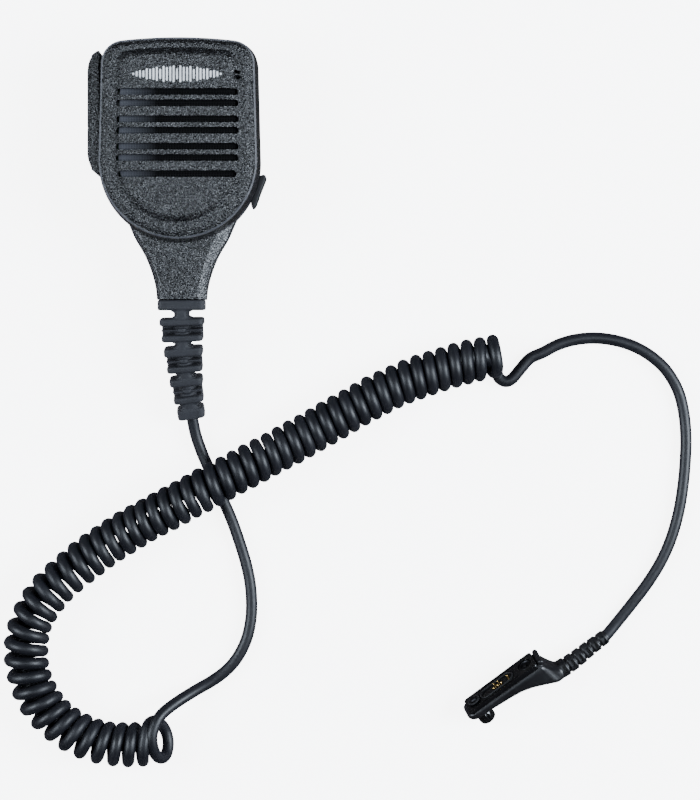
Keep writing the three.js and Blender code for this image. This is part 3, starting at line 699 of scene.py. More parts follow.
def front_housing():
    rings = [
        at_height(panel_outline(1), 31.2),
        at_height(panel_outline(1), ROOF_Z),
        at_height(shell_outline(WALL), ROOF_Z),
        at_height(shell_outline(WALL), FRONT_RIM_Z),
    ]
    # outer wall, leaning in a little, then the thin bead along its top edge, as (inset, z)
    wall = [(0.3, FRONT_RIM_Z), (0.08, 20.9), (0.0, 21.15), (0.5, 25.2), (0.92, 28.75), (1.02, 29.1)]
    wall += [(1.1, 29.22), (0.93, 29.4), (0.88, 29.65), (0.98, 29.95), (1.22, 30.14), (1.5, 30.12)]
    wall += [(1.68, 29.98), (1.8, 29.96)]
    rings += [at_height(shell_outline(inset), z) for inset, z in wall]
    # the crowned border, up to the foot of the panel, as (part of the way in, z)
    border = [(0.06, 30.2), (0.16, 30.56), (0.3, 30.95), (0.46, 31.22)]
    border += [(0.62, 31.34), (0.78, 31.36), (0.92, 31.3)]
    inner, outer = panel_outline(0), shell_outline(1.8)
    rings += [at_height(between(outer, inner, part), z) for part, z in border]
    # the panel's sloping side and rounded edge
    side = [(0, 31.24), (0.25, 31.26), (0.5, 31.4), (0.9, 31.74), (1.5, 32.34), (2.1, 32.9), (2.5, 33.2)]
    side += [(2.85, 33.38), (3.2, 33.47), (3.6, PANEL_Z)]
    rings += [at_height(panel_outline(inset), z) for inset, z in side]
    shell = loft("front_shell", rings, SHELL, 38)
    shell.data.materials.append(BEAD_PAINTED_HIGHLIGHT)
    # the bead's faces get the lighter colour, a painted highlight line
    for face in shell.data.polygons:
        if face.index // len(rings[0]) in BEAD_HIGHLIGHT_RINGS:
            face.material_index = 1
    cutters = []
    for i in range(SLOT_COUNT):
        y = FIRST_SLOT_Y - (i // 2) * SLOT_PITCH - (i % 2) * SLOT_STEP
        half = SLOT_HALF_LENGTH - (0.8 if i == SLOT_COUNT - 1 else 0)
        cutters.append(prism("slot", slot_outline(0, y, half, SLOT_RADIUS), 30, 34, SHELL_SMOOTH))
    for y in MICROPHONE_HOLES_Y:
        cutters.append(prism("hole", slot_outline(MICROPHONE_HOLES_X, y, 1.25, 0.7), 26, 35, SHELL_SMOOTH))
    window = rounded_rect(-33, -26, 19.7, 28.3, 0.5)
    cutters.append(prism("window", window, 22.6, 26.7, SHELL_SMOOTH))
    cut_away(shell, cutters, 38)
    return belongs(shell, "root", "shell", "front_housing")


front_housing()


def printed_mark():
    """A row of white level bars, taller towards the middle."""
    bars = []
    count = 27
    for i in range(count):
        place_in_row = i / (count - 1) * 2 - 1
        swell = math.cos(place_in_row * math.pi / 2) ** 0.7
        beat = 0.55 + 0.45 * abs(math.sin(i * 1.9 + 0.4))
        half = 0.45 + 2.75 * swell * beat
        x = place_in_row * MARK_HALF_LENGTH
        outline = rounded_rect(x - 0.36, x + 0.36, MARK_Y - half, MARK_Y + half, 0.35, 5)
        bars.append(prism("bar", outline, PANEL_Z - 0.05, PANEL_Z + 0.025, PRINT))
    mark = merge("printed_mark", bars)
    return belongs(mark, "root", "shell")


printed_mark()


# ---- rear housing and neck
JACK_MATRIX = Matrix.Translation((SHIFT_X, ARC_Y, JACK_Z)) @ Matrix.Rotation(COVER_ANGLE, 4, "Z")
JACK_MATRIX = JACK_MATRIX @ Matrix.Rotation(math.pi / 2, 4, "Y")
NECK_LEAN = 0.6
NECK_BACK_Z = 9.6
NECK_SIDE = [(-14, 24.4), (-17, 21.9), (-21, 19.9), (-26.2, 17.6)]  # y and half width
NECK_SIDE += [(-32.4, 14), (-38.5, 11.5), (-44, 10), (-49, 9.4)]


def neck_side(half, slope):
    """Half a section of the neck, from the flat front over the slope to the back."""
    return [
        (half - slope - 1, REAR_RIM_Z),
        (half - slope, REAR_RIM_Z - 0.12),
        (half - slope + 0.5, REAR_RIM_Z - 0.42),
        (half - 0.5, 18.3),
        (half - 0.1, 17.6),
        (half, 16.6),
        (half - 0.1, 12.2),
        (half - 0.7, 10.7),
        (half - 1.6, 9.85),
        (half - 2.8, NECK_BACK_Z),
        (half * 0.4, NECK_BACK_Z),
    ]


def neck():
    """The neck, flaring up to the housing: grained front, finer grain on its slopes, smooth sides."""
    line = catmull([(width, y, 0) for y, width in NECK_SIDE], 6)
    rings = []
    for point in line:
        half, y = point.x, point.y
        part = min(max((y + 44) / 28, 0), 1)
        flare = part * part * (3 - 2 * part)
        right = neck_side(half, 3.4 + 2.2 * flare)
        left = [(-x, z) for x, z in reversed(neck_side(half, 2.4 + 0.6 * flare))]
        middle = SHIFT_X + NECK_LEAN
        section = [(0.0, REAR_RIM_Z), *right, (0.0, NECK_BACK_Z), *left]
        rings.append([(x + middle, y, z) for x, z in section])
    made = loft("neck", rings, SHELL_SMOOTH, 30)
    made.data.materials.append(SHELL)
    made.data.materials.append(SLOPE)
    for face in made.data.polygons:
        if face.normal.z > 0.97:
            face.material_index = 1
        elif face.normal.z > 0.3:
            face.material_index = 2
    return made


def rear_housing():
    profile = [(0.3, REAR_RIM_Z), (0.06, 20.3), (0.0, 20.1), (0.0, 13.2), (0.08, 12.2), (0.4, 11.1)]
    profile += [(1.0, 10.1), (1.8, 9.45), (2.7, 9.1), (3.6, BACK_Z), (5.4, BACK_Z), (5.7, 9.25), (6.2, 9.4)]
    rings = [at_height(shell_outline(WALL), 11.2), at_height(shell_outline(WALL), REAR_RIM_Z)]
    rings += [at_height(shell_outline(inset), z) for inset, z in profile]
    shell = loft("rear_shell", rings, SHELL_SMOOTH, 38)
    shell.data.materials.append(SHELL)
    for face in shell.data.polygons:
        if face.normal.z < -0.9 and face.center.z < 10 * MM:
            face.material_index = 1
    cutters = []
    sunk = [(0, 8), (3, 8), (3, 11), (1.6, 11), (1.6, 22), (0, 22)]
    for x, y in HOUSING_SCREWS:
        cutters.append(turned("hole", sunk, SHELL_SMOOTH, (x + SHIFT_X, y)))
    jack = turned("jack_hole", [(0, 22), (3.4, 22), (3.4, 40), (0, 40)], SHELL_SMOOTH)
    cutters.append(place(jack, JACK_MATRIX))
    cut_away(shell, cutters, 38)
    # a shallow square seat round the belt clip's hub, and grip ribs below it
    seat = prism("clip_seat", rounded_rect(-13, 13, 4, 28, 4), 8.8, 9.6, SHELL_SMOOTH)
    round_edges(seat, 0.15)
    ribs = []
    for i in range(5):
        outline = rounded_rect(-17 + i * 0.6, 17 - i * 0.6, -5.2 - i * 2.6, -4.2 - i * 2.6, 0.45)
        ribs.append(prism("rib", outline, 8.95, 9.6, SHELL_SMOOTH))
    made = merge("rear_shell", [shell, neck(), seat, *ribs])
    return belongs(made, "root", "shell", "rear_housing")


rear_housing()

# ---- talk bar
BAR_Z = (13.0, 27.0)
BAR_Y = (-1.0, 41.6)
BAR_INNER = -31.9


def talk_bar():
    """The soft bar: a long pad that ramps down at both ends, with a stem that reaches the switch."""
    outline = [(BAR_INNER, BAR_Y[0]), (BAR_INNER, BAR_Y[1]), (-32.3, BAR_Y[1] - 0.2), (-33.1, 40.1)]
    outline += [(-33.7, 38.2), (-34, 35.8), (-34, 15.4), (-33.85, 14.6), (-34, 13.8), (-34, 4.8)]
    outline += [(-33.7, 2.9), (-33, 0.8), (-32.3, BAR_Y[0] + 0.2)]
    pad = prism("pad", outline, *BAR_Z, BAR_RUBBER)
    round_edges(pad, 0.55, 4, 30)
    stem = prism("stem", rounded_rect(BAR_INNER - 0.5, -27, 20, 28, 0.4), 22.9, 26.4, BAR_RUBBER)
    belongs(merge("talk_bar", [pad, stem]), "talk_bar", "soft_rubber", "ptt_bar")


def talk_bar_rim():
    """The raised lip round the bar's opening in the housing's side."""
    low, high = BAR_Y[0] - 0.9, BAR_Y[1] + 0.9
    outline = [(-29.4, low - 0.9), (-29.4, high + 0.9), (-30.2, high + 0.8), (-31.4, high)]
    outline += [(-32.4, high - 0.9), (-32.4, low + 0.9), (-31.4, low), (-30.2, low - 0.8)]
    rim = prism("rim", outline, BAR_Z[0] - 0.9, BAR_Z[1] + 0.9, BAR_RUBBER)
    hole = rounded_rect(-40, -27, BAR_Y[0] - 0.3, BAR_Y[1] + 0.3, 0.5)
    cut_away(rim, [prism("hole", hole, BAR_Z[0] - 0.3, BAR_Z[1] + 0.3, BAR_RUBBER)])
    round_edges(rim, 0.25, 3, 40)
    belongs(rim, "root", "soft_rubber", "ptt_rim")


talk_bar()
talk_bar_rim()


# ---- earphone jack
def jack_cover():
    """The rubber flap over the jack: it hugs the housing's round side and tapers at its lower end."""
    outer, half, hug = 32.5, 6.7, 30.45
    outline = [(outer - 1.9, -half + 1.2), (outer - 1.3, -half + 0.4), (outer - 0.8, -half)]
    outline += [(outer - 0.3, -half + 0.7), (outer, -half + 2), (outer - 0.12, 0), (outer, half - 1.4)]
    outline += [(outer - 0.15, half - 0.5), (outer - 0.6, half), (outer - 1.5, half - 0.05)]
    outline.append((outer - 1.9, half - 0.4))
    for y in (5.6, 4, 2, 0, -2, -4):
        outline.append((math.sqrt(hug**2 - y**2), y))
    flap = prism("flap", outline, 10.2, 19.2, DARK_RUBBER, 0)
    round_edges(flap, 0.3, 3, 30)
    turn = Matrix.Translation((SHIFT_X, ARC_Y, 0)) @ Matrix.Rotation(COVER_ANGLE, 4, "Z")
    belongs(place(flap, turn), "cover", "soft_rubber", "jack_cover")


def earphone_jack():
    profile = [(0, 19), (3, 19), (3, 29.8), (2.8, 30.2), (2.05, 30.2), (1.8, 29.8), (1.8, 21), (0, 21)]
    jack = turned("earphone_jack_socket", profile, DARK_STEEL)
    place(jack, JACK_MATRIX)
    belongs(jack, "root", "clip_plastic", "earphone_jack")


jack_cover()
earphone_jack()


# ---- belt clip
EAR_WIDTH = 1.8
EAR_RADIUS = 2


def pin_rod(name, x0, x1, radius, material):
    """A round rod on the clip pin's axis, with chamfered ends."""
    rings = []
    chamfer = min(0.15, radius * 0.2)
    small = radius - chamfer
    for x, size in ((x0, small), (x0 + chamfer, radius), (x1 - chamfer, radius), (x1, small)):
        rings.append([(x + SHIFT_X, y, z) for y, z in circle(CLIP_PIN_Y, CLIP_PIN_Z, size, 32)])
    return loft(name, rings, material)


def clip_ears(places, z0, z1, material):
    """The two ears that hold the pin: a round end and a straight foot each."""
    ears = []
    for x in places:
        ears.append(pin_rod("ear", x, x + EAR_WIDTH, EAR_RADIUS, material))
        foot = rounded_rect(x, x + EAR_WIDTH, CLIP_PIN_Y - EAR_RADIUS, CLIP_PIN_Y + EAR_RADIUS, 0.2)
        ears.append(prism("ear", foot, z0, z1, material))
    return ears


def clip_lever():
    """The clip's outer plate, with finger grooves at the end that is pressed, a jaw and two ears."""
    plate = prism("plate", rounded_rect(-9.5, 9.5, CLIP_JAW_Y, CLIP_PIN_Y + 11, 3.5), 0, 2.2, CLIP_PLASTIC)
    grooves = []
    for i in range(4):
        y = CLIP_PIN_Y + 2.4 + i * 2
        grooves.append(prism("groove", rounded_rect(-6.5, 6.5, y, y + 0.9, 0.4), -0.5, 0.45, CLIP_PLASTIC))
    grooves.append(prism("groove", rounded_rect(-5, 5, -9, 18, 2.5), -0.5, 0.35, CLIP_PLASTIC))
    cut_away(plate, grooves)
    round_edges(plate, 0.25, 3, 40)
    jaw = prism("jaw", rounded_rect(-6.5, 6.5, CLIP_JAW_Y, CLIP_JAW_Y + 2.4, 0.6), 1.7, 6.7, CLIP_PLASTIC)
    round_edges(jaw, 0.3, 3, 40)
    ears = clip_ears((-7.4, 5.6), 1.7, CLIP_PIN_Z, CLIP_PLASTIC)
    belongs(merge("clip_lever_plate", [plate, jaw, *ears]), "lever", "clip_plastic", "clip_lever")


def clip_base():
    plate = prism("plate", rounded_rect(-11, 11, CLIP_JAW_Y, CLIP_PIN_Y + 3, 3), 7.1, 8.7, DARK_STEEL)
    sunk = [(0, 6), (3.5, 6), (3.5, 8.05), (1.9, 8.05), (1.9, 10), (0, 10)]
    cut_away(plate, [turned("hole", sunk, DARK_STEEL, (SHIFT_X, CLIP_HUB_Y))])
    round_edges(plate, 0.2, 2, 40)
    ears = clip_ears((-9.6, 7.8), CLIP_PIN_Z, 7.6, DARK_STEEL)
    belongs(merge("clip_base_plate", [plate, *ears]), "clip", "steel", "clip_base")


def clip_spring():
    """A torsion coil round the pin, with a leg against each plate."""
    turns, per_turn, radius, half_length = 8, 20, 1.7, 4.4
    line = [Vector((SHIFT_X - half_length, CLIP_PIN_Y - 6.5, CLIP_PIN_Z + 1.75))]
    for i in range(turns * per_turn + 1):
        angle = math.pi / 2 + 2 * math.pi * i / per_turn
        x = SHIFT_X - half_length + 2 * half_length * i / (turns * per_turn)
        line.append(Vector((x, CLIP_PIN_Y + radius * math.cos(angle), CLIP_PIN_Z + radius * math.sin(angle))))
    line.append(Vector((SHIFT_X + half_length, CLIP_PIN_Y - 6.5, CLIP_PIN_Z + 1.75)))
    belongs(round_wire("torsion_spring", line, 0.7, 2, STEEL), "clip", "steel", "clip_spring")


clip_lever()
clip_base()
clip_spring()
belongs(pin_rod("clip_pin_rod", -9.9, 9.9, 1.1, STEEL), "clip", "steel", "clip_pin")


# ---- screws
def cross_slot(x, y, z0, z1, half=1.5, width=0.5):
    """The two blades of a cross recess."""
    flat = prism("slot", rounded_rect(x - half, x + half, y - width / 2, y + width / 2, 0.15), z0, z1, STEEL)
    tall = prism("slot", rounded_rect(x - width / 2, x + width / 2, y - half, y + half, 0.15), z0, z1, STEEL)
    return [flat, tall]


def housing_screw(number, x, y):
    profile = [(0, 9.35), (1.6, 9.4), (2.3, 9.6), (2.6, 10)]
    profile += [(2.6, 10.7), (1.2, 10.7), (1.2, 25.6), (0, 25.8)]
    screw = turned(f"cross_screw_{number}", profile, DARK_STEEL, (x + SHIFT_X, y))
    cut_away(screw, cross_slot(x, y, 9, 10.1))
    belongs(screw, "root", "steel", f"housing_screw_{number}")


for number, (x, y) in enumerate(HOUSING_SCREWS, 1):
    housing_screw(number, x, y)


def clip_screw():
    profile = [(0, 7.25), (2.6, 7.25), (3.1, 7.4), (3.2, 7.75), (1.5, 7.75), (1.5, 13.3), (0, 13.5)]
    screw = turned("clip_hub_screw", profile, STEEL, (SHIFT_X, CLIP_HUB_Y))
    cut_away(screw, cross_slot(0, CLIP_HUB_Y, 7, 7.6, 1.8, 0.6))
    belongs(screw, "root", "steel", "clip_screw")


clip_screw()

# ---- strain relief at the head
BOOT_LENGTH = 45.0
BOOT_SLABS = [(0, 4), (6.9, 9.7), (13, 15.6), (17.9, 21.2)]  # start and end along the boot
BOOT_SLABS += [(24.6, 27.2), (29.3, 32.4), (36.2, 38.9), (40.8, 45)]


def boot_point(length):
    part = length / BOOT_LENGTH
    return Vector((1.1 + 3.3 * part**2.2, -49.08 - length * 0.985, 15 - 9.2 * part**1.6))


def boot_block(start, end, width, height, corner, edge, lift=0.0):
    """One rounded block of the strain relief between two lengths."""
    along = (boot_point(end) - boot_point(start)).normalized()
    side, up = cross_axes(along)
    middle = boot_point((start + end) / 2) + up * lift
    rings = []
    for away, inset in ((0, edge), (edge * 0.3, edge * 0.3), (edge, 0)):
        rings.append((away - (end - start) / 2, inset))
    rings += [(-away, inset) for away, inset in reversed(rings)]
    made = []
    for away, inset in rings:
        half_w, half_h = width / 2 - inset, height / 2 - inset
        outline = rounded_rect(-half_w, half_w, -half_h, half_h, max(corner - inset, 0.2), 5)
        made.append([middle + along * away + side * a + up * b for a, b in outline])
    return loft("block", made, BOOT_RUBBER)


def cable_boot():
    def width(length):
        return 18.3 - 8.2 * (length / BOOT_LENGTH)

    def height(length):
        return 10.4 - 1.6 * (length / BOOT_LENGTH)

    blocks = []
    for i, (start, end) in enumerate(BOOT_SLABS):
        middle = (start + end) / 2
        blocks.append(boot_block(start, end, width(middle), height(middle), 2, 0.7))
        if i == len(BOOT_SLABS) - 1:
            break
        after = BOOT_SLABS[i + 1][0]
        if i % 2 == 0:
            blocks.append(boot_block(end - 0.6, after + 0.6, 4.4, height(after) - 0.6, 1.2, 0.1))
            for flare, reach in ((0.9, 5.8), (0.45, 7.4)):
                blocks.append(boot_block(end - 0.6, end + flare, reach, height(after) - 1, 1.2, 0.1))
                blocks.append(boot_block(after - flare, after + 0.6, reach, height(after) - 1, 1.2, 0.1))
            continue
        # a level web, deep in the window, with a thin rib across it and the core showing in the middle
        gap = (end + after) / 2
        blocks.append(boot_block(end - 0.4, after + 0.4, width(after) - 0.2, 2.2, 1, 0.1, -2.4))
        blocks.append(boot_block(gap - 0.35, gap + 0.35, width(after) - 0.4, height(after) - 2.2, 1, 0.15))
        blocks.append(boot_block(gap - 0.85, gap + 0.85, 3.4, height(after) - 1.8, 1.2, 0.3))
    # the round core through all of it, and the root inside the neck
    rings = []
    for i in range(31):
        length = -6 + 50.4 * i / 30
        centre = boot_point(max(length, 0)) + Vector((0, -min(length, 0), 0))
        ahead = boot_point(max(length, 0) + 0.5) - boot_point(max(length, 0))
        side, up = cross_axes(ahead.normalized())
        rings.append([centre + side * a + up * b for a, b in circle(0, 0, 3, 20)])
    blocks.append(loft("core", rings, BOOT_RUBBER))
    boot = merge("strain_relief", blocks)
    remesh(boot, 0.22, 5)
    return belongs(boot, "root", "soft_rubber", "cable_boot")


head_boot = cable_boot()

# ---- plug
PLUG_MATRIX = Matrix.Translation(PLUG_AT) @ PLUG_TURN.to_matrix().to_4x4()
KNOB_X = -12.3
ANTENNA_X = 11.3


def plug_section(top, bottom, half, corner, shift=0.0):
    """A rounded section of the plug between a top and a bottom point of its side view."""
    (x0, z0), (x1, z1) = top, bottom
    tall = math.hypot(x1 - x0, z1 - z0)
    outline = rounded_rect(-half, half, -tall, 0, min(corner, tall / 2 - 0.05, half - 0.05), 6)
    return [(x0 + (x1 - x0) * -s / tall, y + shift, z0 + (z1 - z0) * -s / tall) for y, s in outline]


def plug_body():
    top = -0.9
    sections = [
        ((-17.8, -1.9), (-17.8, -2.6), 2.6, 0.3),
        ((-17.65, -1.4), (-17.6, -3.2), 3.5, 0.8),
        ((-17.1, -1.05), (-16.9, -3.9), 4.4, 1.2),
        ((-16.2, top), (-15.8, -4.35), 5.1, 1.5),
        ((-14.6, top), (-14.3, -4.5), 5.6, 1.6),
        ((-12.3, top), (-12.1, -4.55), 5.75, 1.6),
        ((-9, top), (-9, -4.6), 5.75, 1.6),
        ((-4, top), (-4, -5.2), 5.75, 1.7),
        ((0.5, top), (0.8, -5.8), 5.75, 1.9),
        ((4.1, top), (4.6, -6.5), 5.75, 2.1),
        ((8, top), (8.6, -8), 5.75, 2.3),
        ((11.3, top), (12, -9.9), 5.7, 2.5),
        ((14, top), (14.9, -11.6), 5.6, 2.6),
        ((15.8, top), (16.8, -12.8), 5.5, 2.6),
        ((16.7, -1.3), (17.8, -13.4), 5.3, 2.6, 0.1),
        ((17.5, -2.6), (18.7, -13.9), 5.0, 2.7, 0.3),
        ((18.3, -4.5), (19.5, -14.4), 4.6, 2.9, 0.5),
        ((19.2, -6.5), (20.2, -14.9), 4.1, 3, 0.8),
        ((20.2, -8.1), (20.9, -15.3), 3.7, 3.2, 1),
        ((21.4, -8.9), (21.8, -15.6), 3.4, 3.3, 1.15),
    ]
    slab = loft("slab", [plug_section(*s) for s in sections], PLUG_SATIN)
    # the guide bar that hooks under the radio's edge
    hook_rings = []
    for y, size in ((-4.7, 0.6), (-4.3, 1.1), (4.3, 1.1), (4.8, 0.6)):
        hook_rings.append([(x, y, z) for x, z in circle(17, top, size, 20)])
    hook = loft("hook", hook_rings, PLUG_SATIN)
    body = merge("plug_shell", [slab, hook])
    remesh(body, 0.2, 3)
    seat = prism("seat", rounded_rect(-16.1, 15.7, -5.05, 5.05, 1.4), -2.4, 2, PLUG_SATIN, 0)
    bore = turned("bore", [(0, -20), (1.7, -20), (1.7, 5), (0, 5)], PLUG_SATIN, (KNOB_X, 0))
    cut_away(body, [seat, bore], 50)
    place(body, PLUG_MATRIX)
    return belongs(body, "root", "plug_plastic", "plug_body")


def stadium(x, half_length, radius):
    return rounded_rect(x - half_length, x + half_length, -radius, radius, radius - 0.01, 10)


def pin_wells(floor_z):
    """Cutters for the wells of the six pins."""
    profile = [(0, floor_z), (0.62, floor_z), (0.62, 1), (0, 1)]
    return [turned("well", profile, PLUG_GLOSS, pin, 20) for pin in PIN_PLACES]


PIN_PLACES = [(-3.4, -1), (-2.6, 1), (-1.6, -1), (-0.8, 1), (0.2, -1), (3.4, 0.3)]
ISLAND_X = -1.9


def contact_carrier():
    """The glossy carrier: a sunken island for the pins, a round well for the antenna contact, fine lines."""
    block = prism("carrier", rounded_rect(-16, 15.5, -4.93, 4.93, 1.3), -2.1, 0, PLUG_GLOSS, 0)
    cutters = [
        prism("moat", stadium(ISLAND_X, 8, 3.1), -0.9, 1, PLUG_GLOSS, 0),
        turned("well", [(0, -1.3), (2.9, -1.3), (2.9, 1), (0, 1)], PLUG_GLOSS, (ANTENNA_X, 0)),
        turned("bore", [(0, -5), (1.7, -5), (1.7, 5), (0, 5)], PLUG_GLOSS, (KNOB_X, 0)),
    ]
    cutters += pin_wells(-1.8)
    for y in (-3.9, 3.9):
        line = rounded_rect(-9.6, 7.4, y - 0.2, y + 0.2, 0.15)
        cutters.append(prism("line", line, -0.35, 1, PLUG_GLOSS, 0))
    cut_away(block, cutters)
    round_edges(block, 0.18, 2, 50)
    island = prism("island", stadium(ISLAND_X, 6.7, 1.8), -1.2, -0.35, PLUG_GLOSS, 0)
    cut_away(island, pin_wells(-2))
    made = place(merge("contact_carrier", [block, island]), PLUG_MATRIX)
    return belongs(made, "root", "plug_plastic", "contact_block")


def contact_seal():
    """The soft ring that keeps water out of the pins."""
    rings = []
    for inset, z in ((0, -0.6), (0, 0.1), (0.12, 0.26), (0.35, 0.33), (0.58, 0.26), (0.7, 0.1), (0.7, -0.6)):
        rings.append([(x, y, z) for x, y in stadium(ISLAND_X, 7.7 - inset, 2.8 - inset)])
    made = place(hoop("seal_ring", rings, DARK_RUBBER), PLUG_MATRIX)
    return belongs(made, "root", "soft_rubber", "contact_seal")


def contact_pin(number, x, y):
    profile = [(0, -0.7), (0.42, -0.7), (0.42, 0.3), (0.36, 0.55), (0.25, 0.72), (0.12, 0.79), (0, 0.8)]
    pin = place(turned(f"spring_pin_{number}", profile, GOLD, (x, y), 20), PLUG_MATRIX)
    return belongs(pin, f"pin_{number}", "contact_gold", f"contact_pin_{number}")


def antenna_contact():
    profile = [(0, -1.05), (2.6, -1.05), (2.6, -0.3), (2.45, -0.2), (2.05, -0.2), (1.9, -0.35), (1.9, -0.7)]
    profile += [(0.9, -0.7), (0.8, -0.35), (0.5, -0.2), (0, -0.2)]
    made = place(turned("antenna_contact_ring", profile, DARK_STEEL, (ANTENNA_X, 0)), PLUG_MATRIX)
    return belongs(made, "root", "contact_gold", "antenna_contact")


def thumb_screw():
    """The ribbed knob with a coin slot, and its shank through the plug."""
    sides, ribs = 144, 9
    profile = [(2.5, -10.2), (2.85, -10.05), (3.15, -9.7), (3.3, -9.2), (3.3, -6.1), (3.1, -5.5), (2.7, -5.2)]
    rings = []
    for radius, z in profile:
        ring = []
        for k in range(sides):
            angle = math.tau * k / sides
            valley = max(0.0, math.cos(ribs * angle)) ** 3
            depth = 0.42 if -9.8 < z < -5.4 else 0.1
            size = radius - depth * valley
            ring.append((KNOB_X + size * math.cos(angle), size * math.sin(angle), z))
        rings.append(ring)
    knob = loft("knob", rings, PLUG_GLOSS, 50)
    slot = prism("slot", rounded_rect(-16.5, -8.1, -0.55, 0.55, 0.2), -11, -9.2, PLUG_GLOSS, 0)
    cut_away(knob, [slot], 50)
    profile = [(0, -5.6), (1.4, -5.6), (1.4, 1.3), (1.1, 1.7), (0, 1.8)]
    shank = turned("shank", profile, DARK_STEEL, (KNOB_X, 0))
    made = place(merge("thumb_knob", [knob, shank]), PLUG_MATRIX)
    return belongs(made, "knob", "plug_plastic", "thumb_screw")


def retaining_ring():
    profile = [(1.7, 0.4), (2.4, 0.4), (2.5, 0.5), (2.5, 0.9), (2.4, 1), (1.7, 1)]
    rings = [[(x, y, z) for x, y in circle(KNOB_X, 0, radius, 40)] for radius, z in profile]
    made = place(hoop("retaining_ring", rings, DARK_RUBBER), PLUG_MATRIX)
    return belongs(made, "knob", "steel", "screw_ring")


PLUG_BOOT_ROUTE = [
    (145, -190.2, 5.2),
    (148.4, -188.2, 4.9),
    (152.6, -185.2, 4.4),
    (156.8, -181.9, 3.9),
    (160.6, -179.2, 3.4),
    (163.2, -177.2, 3.1),
]
COLLARS = 6


def plug_boot():
    """Slotted collars on a core that curves with the cord."""
    line = catmull(PLUG_BOOT_ROUTE, 8)
    lengths = lengths_along(line)

    def tube(start, end, radius, edge, shape=1.0):
        length = end - start
        stops = [(0, edge), (edge * 0.4, edge * 0.25), (edge, 0)]
        stops += [(length - away, inset) for away, inset in reversed(stops)]
        made = []
        for away, inset in stops:
            at, along = point_at(line, lengths, start + away)
            side, up = cross_axes(along)
            ring = []
            for k in range(28):
                angle = math.tau * k / 28
                c = math.copysign(abs(math.cos(angle)) ** shape, math.cos(angle))
                s = math.copysign(abs(math.sin(angle)) ** shape, math.sin(angle))
                ring.append(at + side * ((radius - inset) * c) + up * ((radius - inset) * s))
            made.append(ring)
        return loft("tube", made, PLUG_SATIN)

    total = lengths[-1]
    pitch = total / COLLARS
    pieces = [tube(0, total, 2.35, 0.1)]
    cutters = []
    for i in range(COLLARS):
        radius = 3.65 - 0.8 * i / (COLLARS - 1)
        start = i * pitch + 0.05
        end = start + pitch - 0.75
        pieces.append(tube(start, min(end, total), radius, 0.3, 0.85))
        # a thinner ring bridges each gap
        if i < COLLARS - 1:
            pieces.append(tube(end - 0.2, end + 0.95, radius - 0.75, 0.05))
        at, along = point_at(line, lengths, start + (pitch - 0.75) * 0.55)
        side, up = cross_axes(along)
        turn = Matrix((along, side, up)).transposed().to_4x4()
        slot = prism("slot", rounded_rect(-0.6, 0.6, -2, 1.3, 0.5), radius - 2.2, radius + 1, PLUG_SATIN, 0)
        place(slot, Matrix.Translation(at) @ turn)
        cutters.append(slot)
    boot = merge("plug_strain_relief", pieces)
    remesh(boot, 0.16, 2)
    cut_away(boot, cutters, 45)
    return belongs(boot, "root", "soft_rubber", "plug_boot")


plug_pieces = [
    plug_body(),
    contact_carrier(),
    contact_seal(),
    antenna_contact(),
    thumb_screw(),
    retaining_ring(),
    *[contact_pin(number, x, y) for number, (x, y) in enumerate(PIN_PLACES, 1)],
    plug_boot(),
]

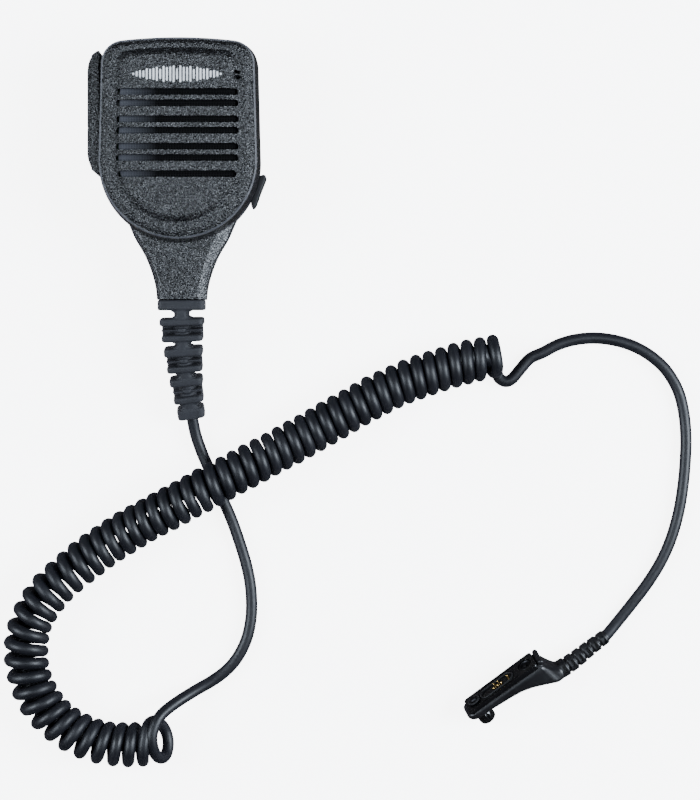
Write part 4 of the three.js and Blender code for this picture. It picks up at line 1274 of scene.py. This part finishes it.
# ---- materials of the CAD pieces that stay
STAYING = {
    "housing_gasket": DARK_RUBBER,
    "ptt_switch": CLIP_PLASTIC,
    "switch_plunger": CLIP_PLASTIC,
    "circuit_board": BOARD,
    "speaker_frame": STEEL,
    "speaker_magnet": STEEL,
    "speaker_cone": PAPER,
    "speaker_gasket": CLOTH_WITH_PAINTED_LIGHT,
    "grille_cloth": CLOTH_WITH_PAINTED_LIGHT,
    "microphone_capsule": STEEL,
    "microphone_boot": DARK_RUBBER,
    "cable_clamp": STEEL,
    "clamp_screw_1": STEEL,
    "clamp_screw_2": STEEL,
    "cord_inner_end": CORD_JACKET,
}
for node, material in STAYING.items():
    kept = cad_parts[node]
    for slot in kept.material_slots:
        slot.link = "OBJECT"
        slot.material = material


# ---- floor and light
FLOOR_Z = -0.15
FLOOR_REACH = 20000
FLOOR_GLOW = 6
LIGHT_COLOR = (0.8, 0.89, 1.0)
WORLD_LIGHT = 0.06


def pale_floor():
    material, nodes, links, shader = new_material("pale_floor")
    cloudy = noise(nodes, links, object_coordinates(nodes), 60, 2)
    shade_by = remap(nodes, links, cloudy, 0.3, 0.7, 0, 1)
    tone = mix_colors(nodes, links, shade_by, (0.9, 0.9, 0.9), (0.92, 0.92, 0.92))
    links.new(tone, shader.inputs["Base Color"])
    put(shader, "Roughness", 0.9)
    put(shader, "Specular IOR Level", 0.1)
    put(shader, "Emission Color", (1, 1, 1, 1))
    put(shader, "Emission Strength", FLOOR_GLOW)
    corners = [(x * FLOOR_REACH, y * FLOOR_REACH, FLOOR_Z) for x, y in ((-1, -1), (1, -1), (1, 1), (-1, 1))]
    floor = make_object("floor", corners, [(0, 1, 2, 3)], material)
    floor.visible_glossy = False  # it isn't mirrored in glossy edges, so they stay dark


pale_floor()

CENTRE = Vector((VIEW_X, VIEW_Y, 0)) * MM


def softbox(name, place_at, size_x, size_y, power):
    data = bpy.data.lights.new(name, "AREA")
    data.shape = "RECTANGLE"
    data.size = size_x
    data.size_y = size_y
    data.energy = power
    data.color = LIGHT_COLOR
    light = bpy.data.objects.new(name, data)
    light.location = CENTRE + Vector(place_at)
    light.rotation_euler = (CENTRE - light.location).to_track_quat("-Z", "Y").to_euler()
    add_to_scene(light)


softbox("right_softbox", (0.95, 0.05, 0.75), 0.6, 0.7, 32)
softbox("left_softbox", (-0.95, 0.05, 0.75), 0.6, 0.7, 18)
softbox("top_fill", (0.0, 0.0, 1.9), 0.5, 0.5, 6)

world = bpy.data.worlds.new("studio")
world.use_nodes = True
world.node_tree.nodes["Background"].inputs["Color"].default_value = (1, 1, 1, 1)
world.node_tree.nodes["Background"].inputs["Strength"].default_value = WORLD_LIGHT
bpy.context.scene.world = world
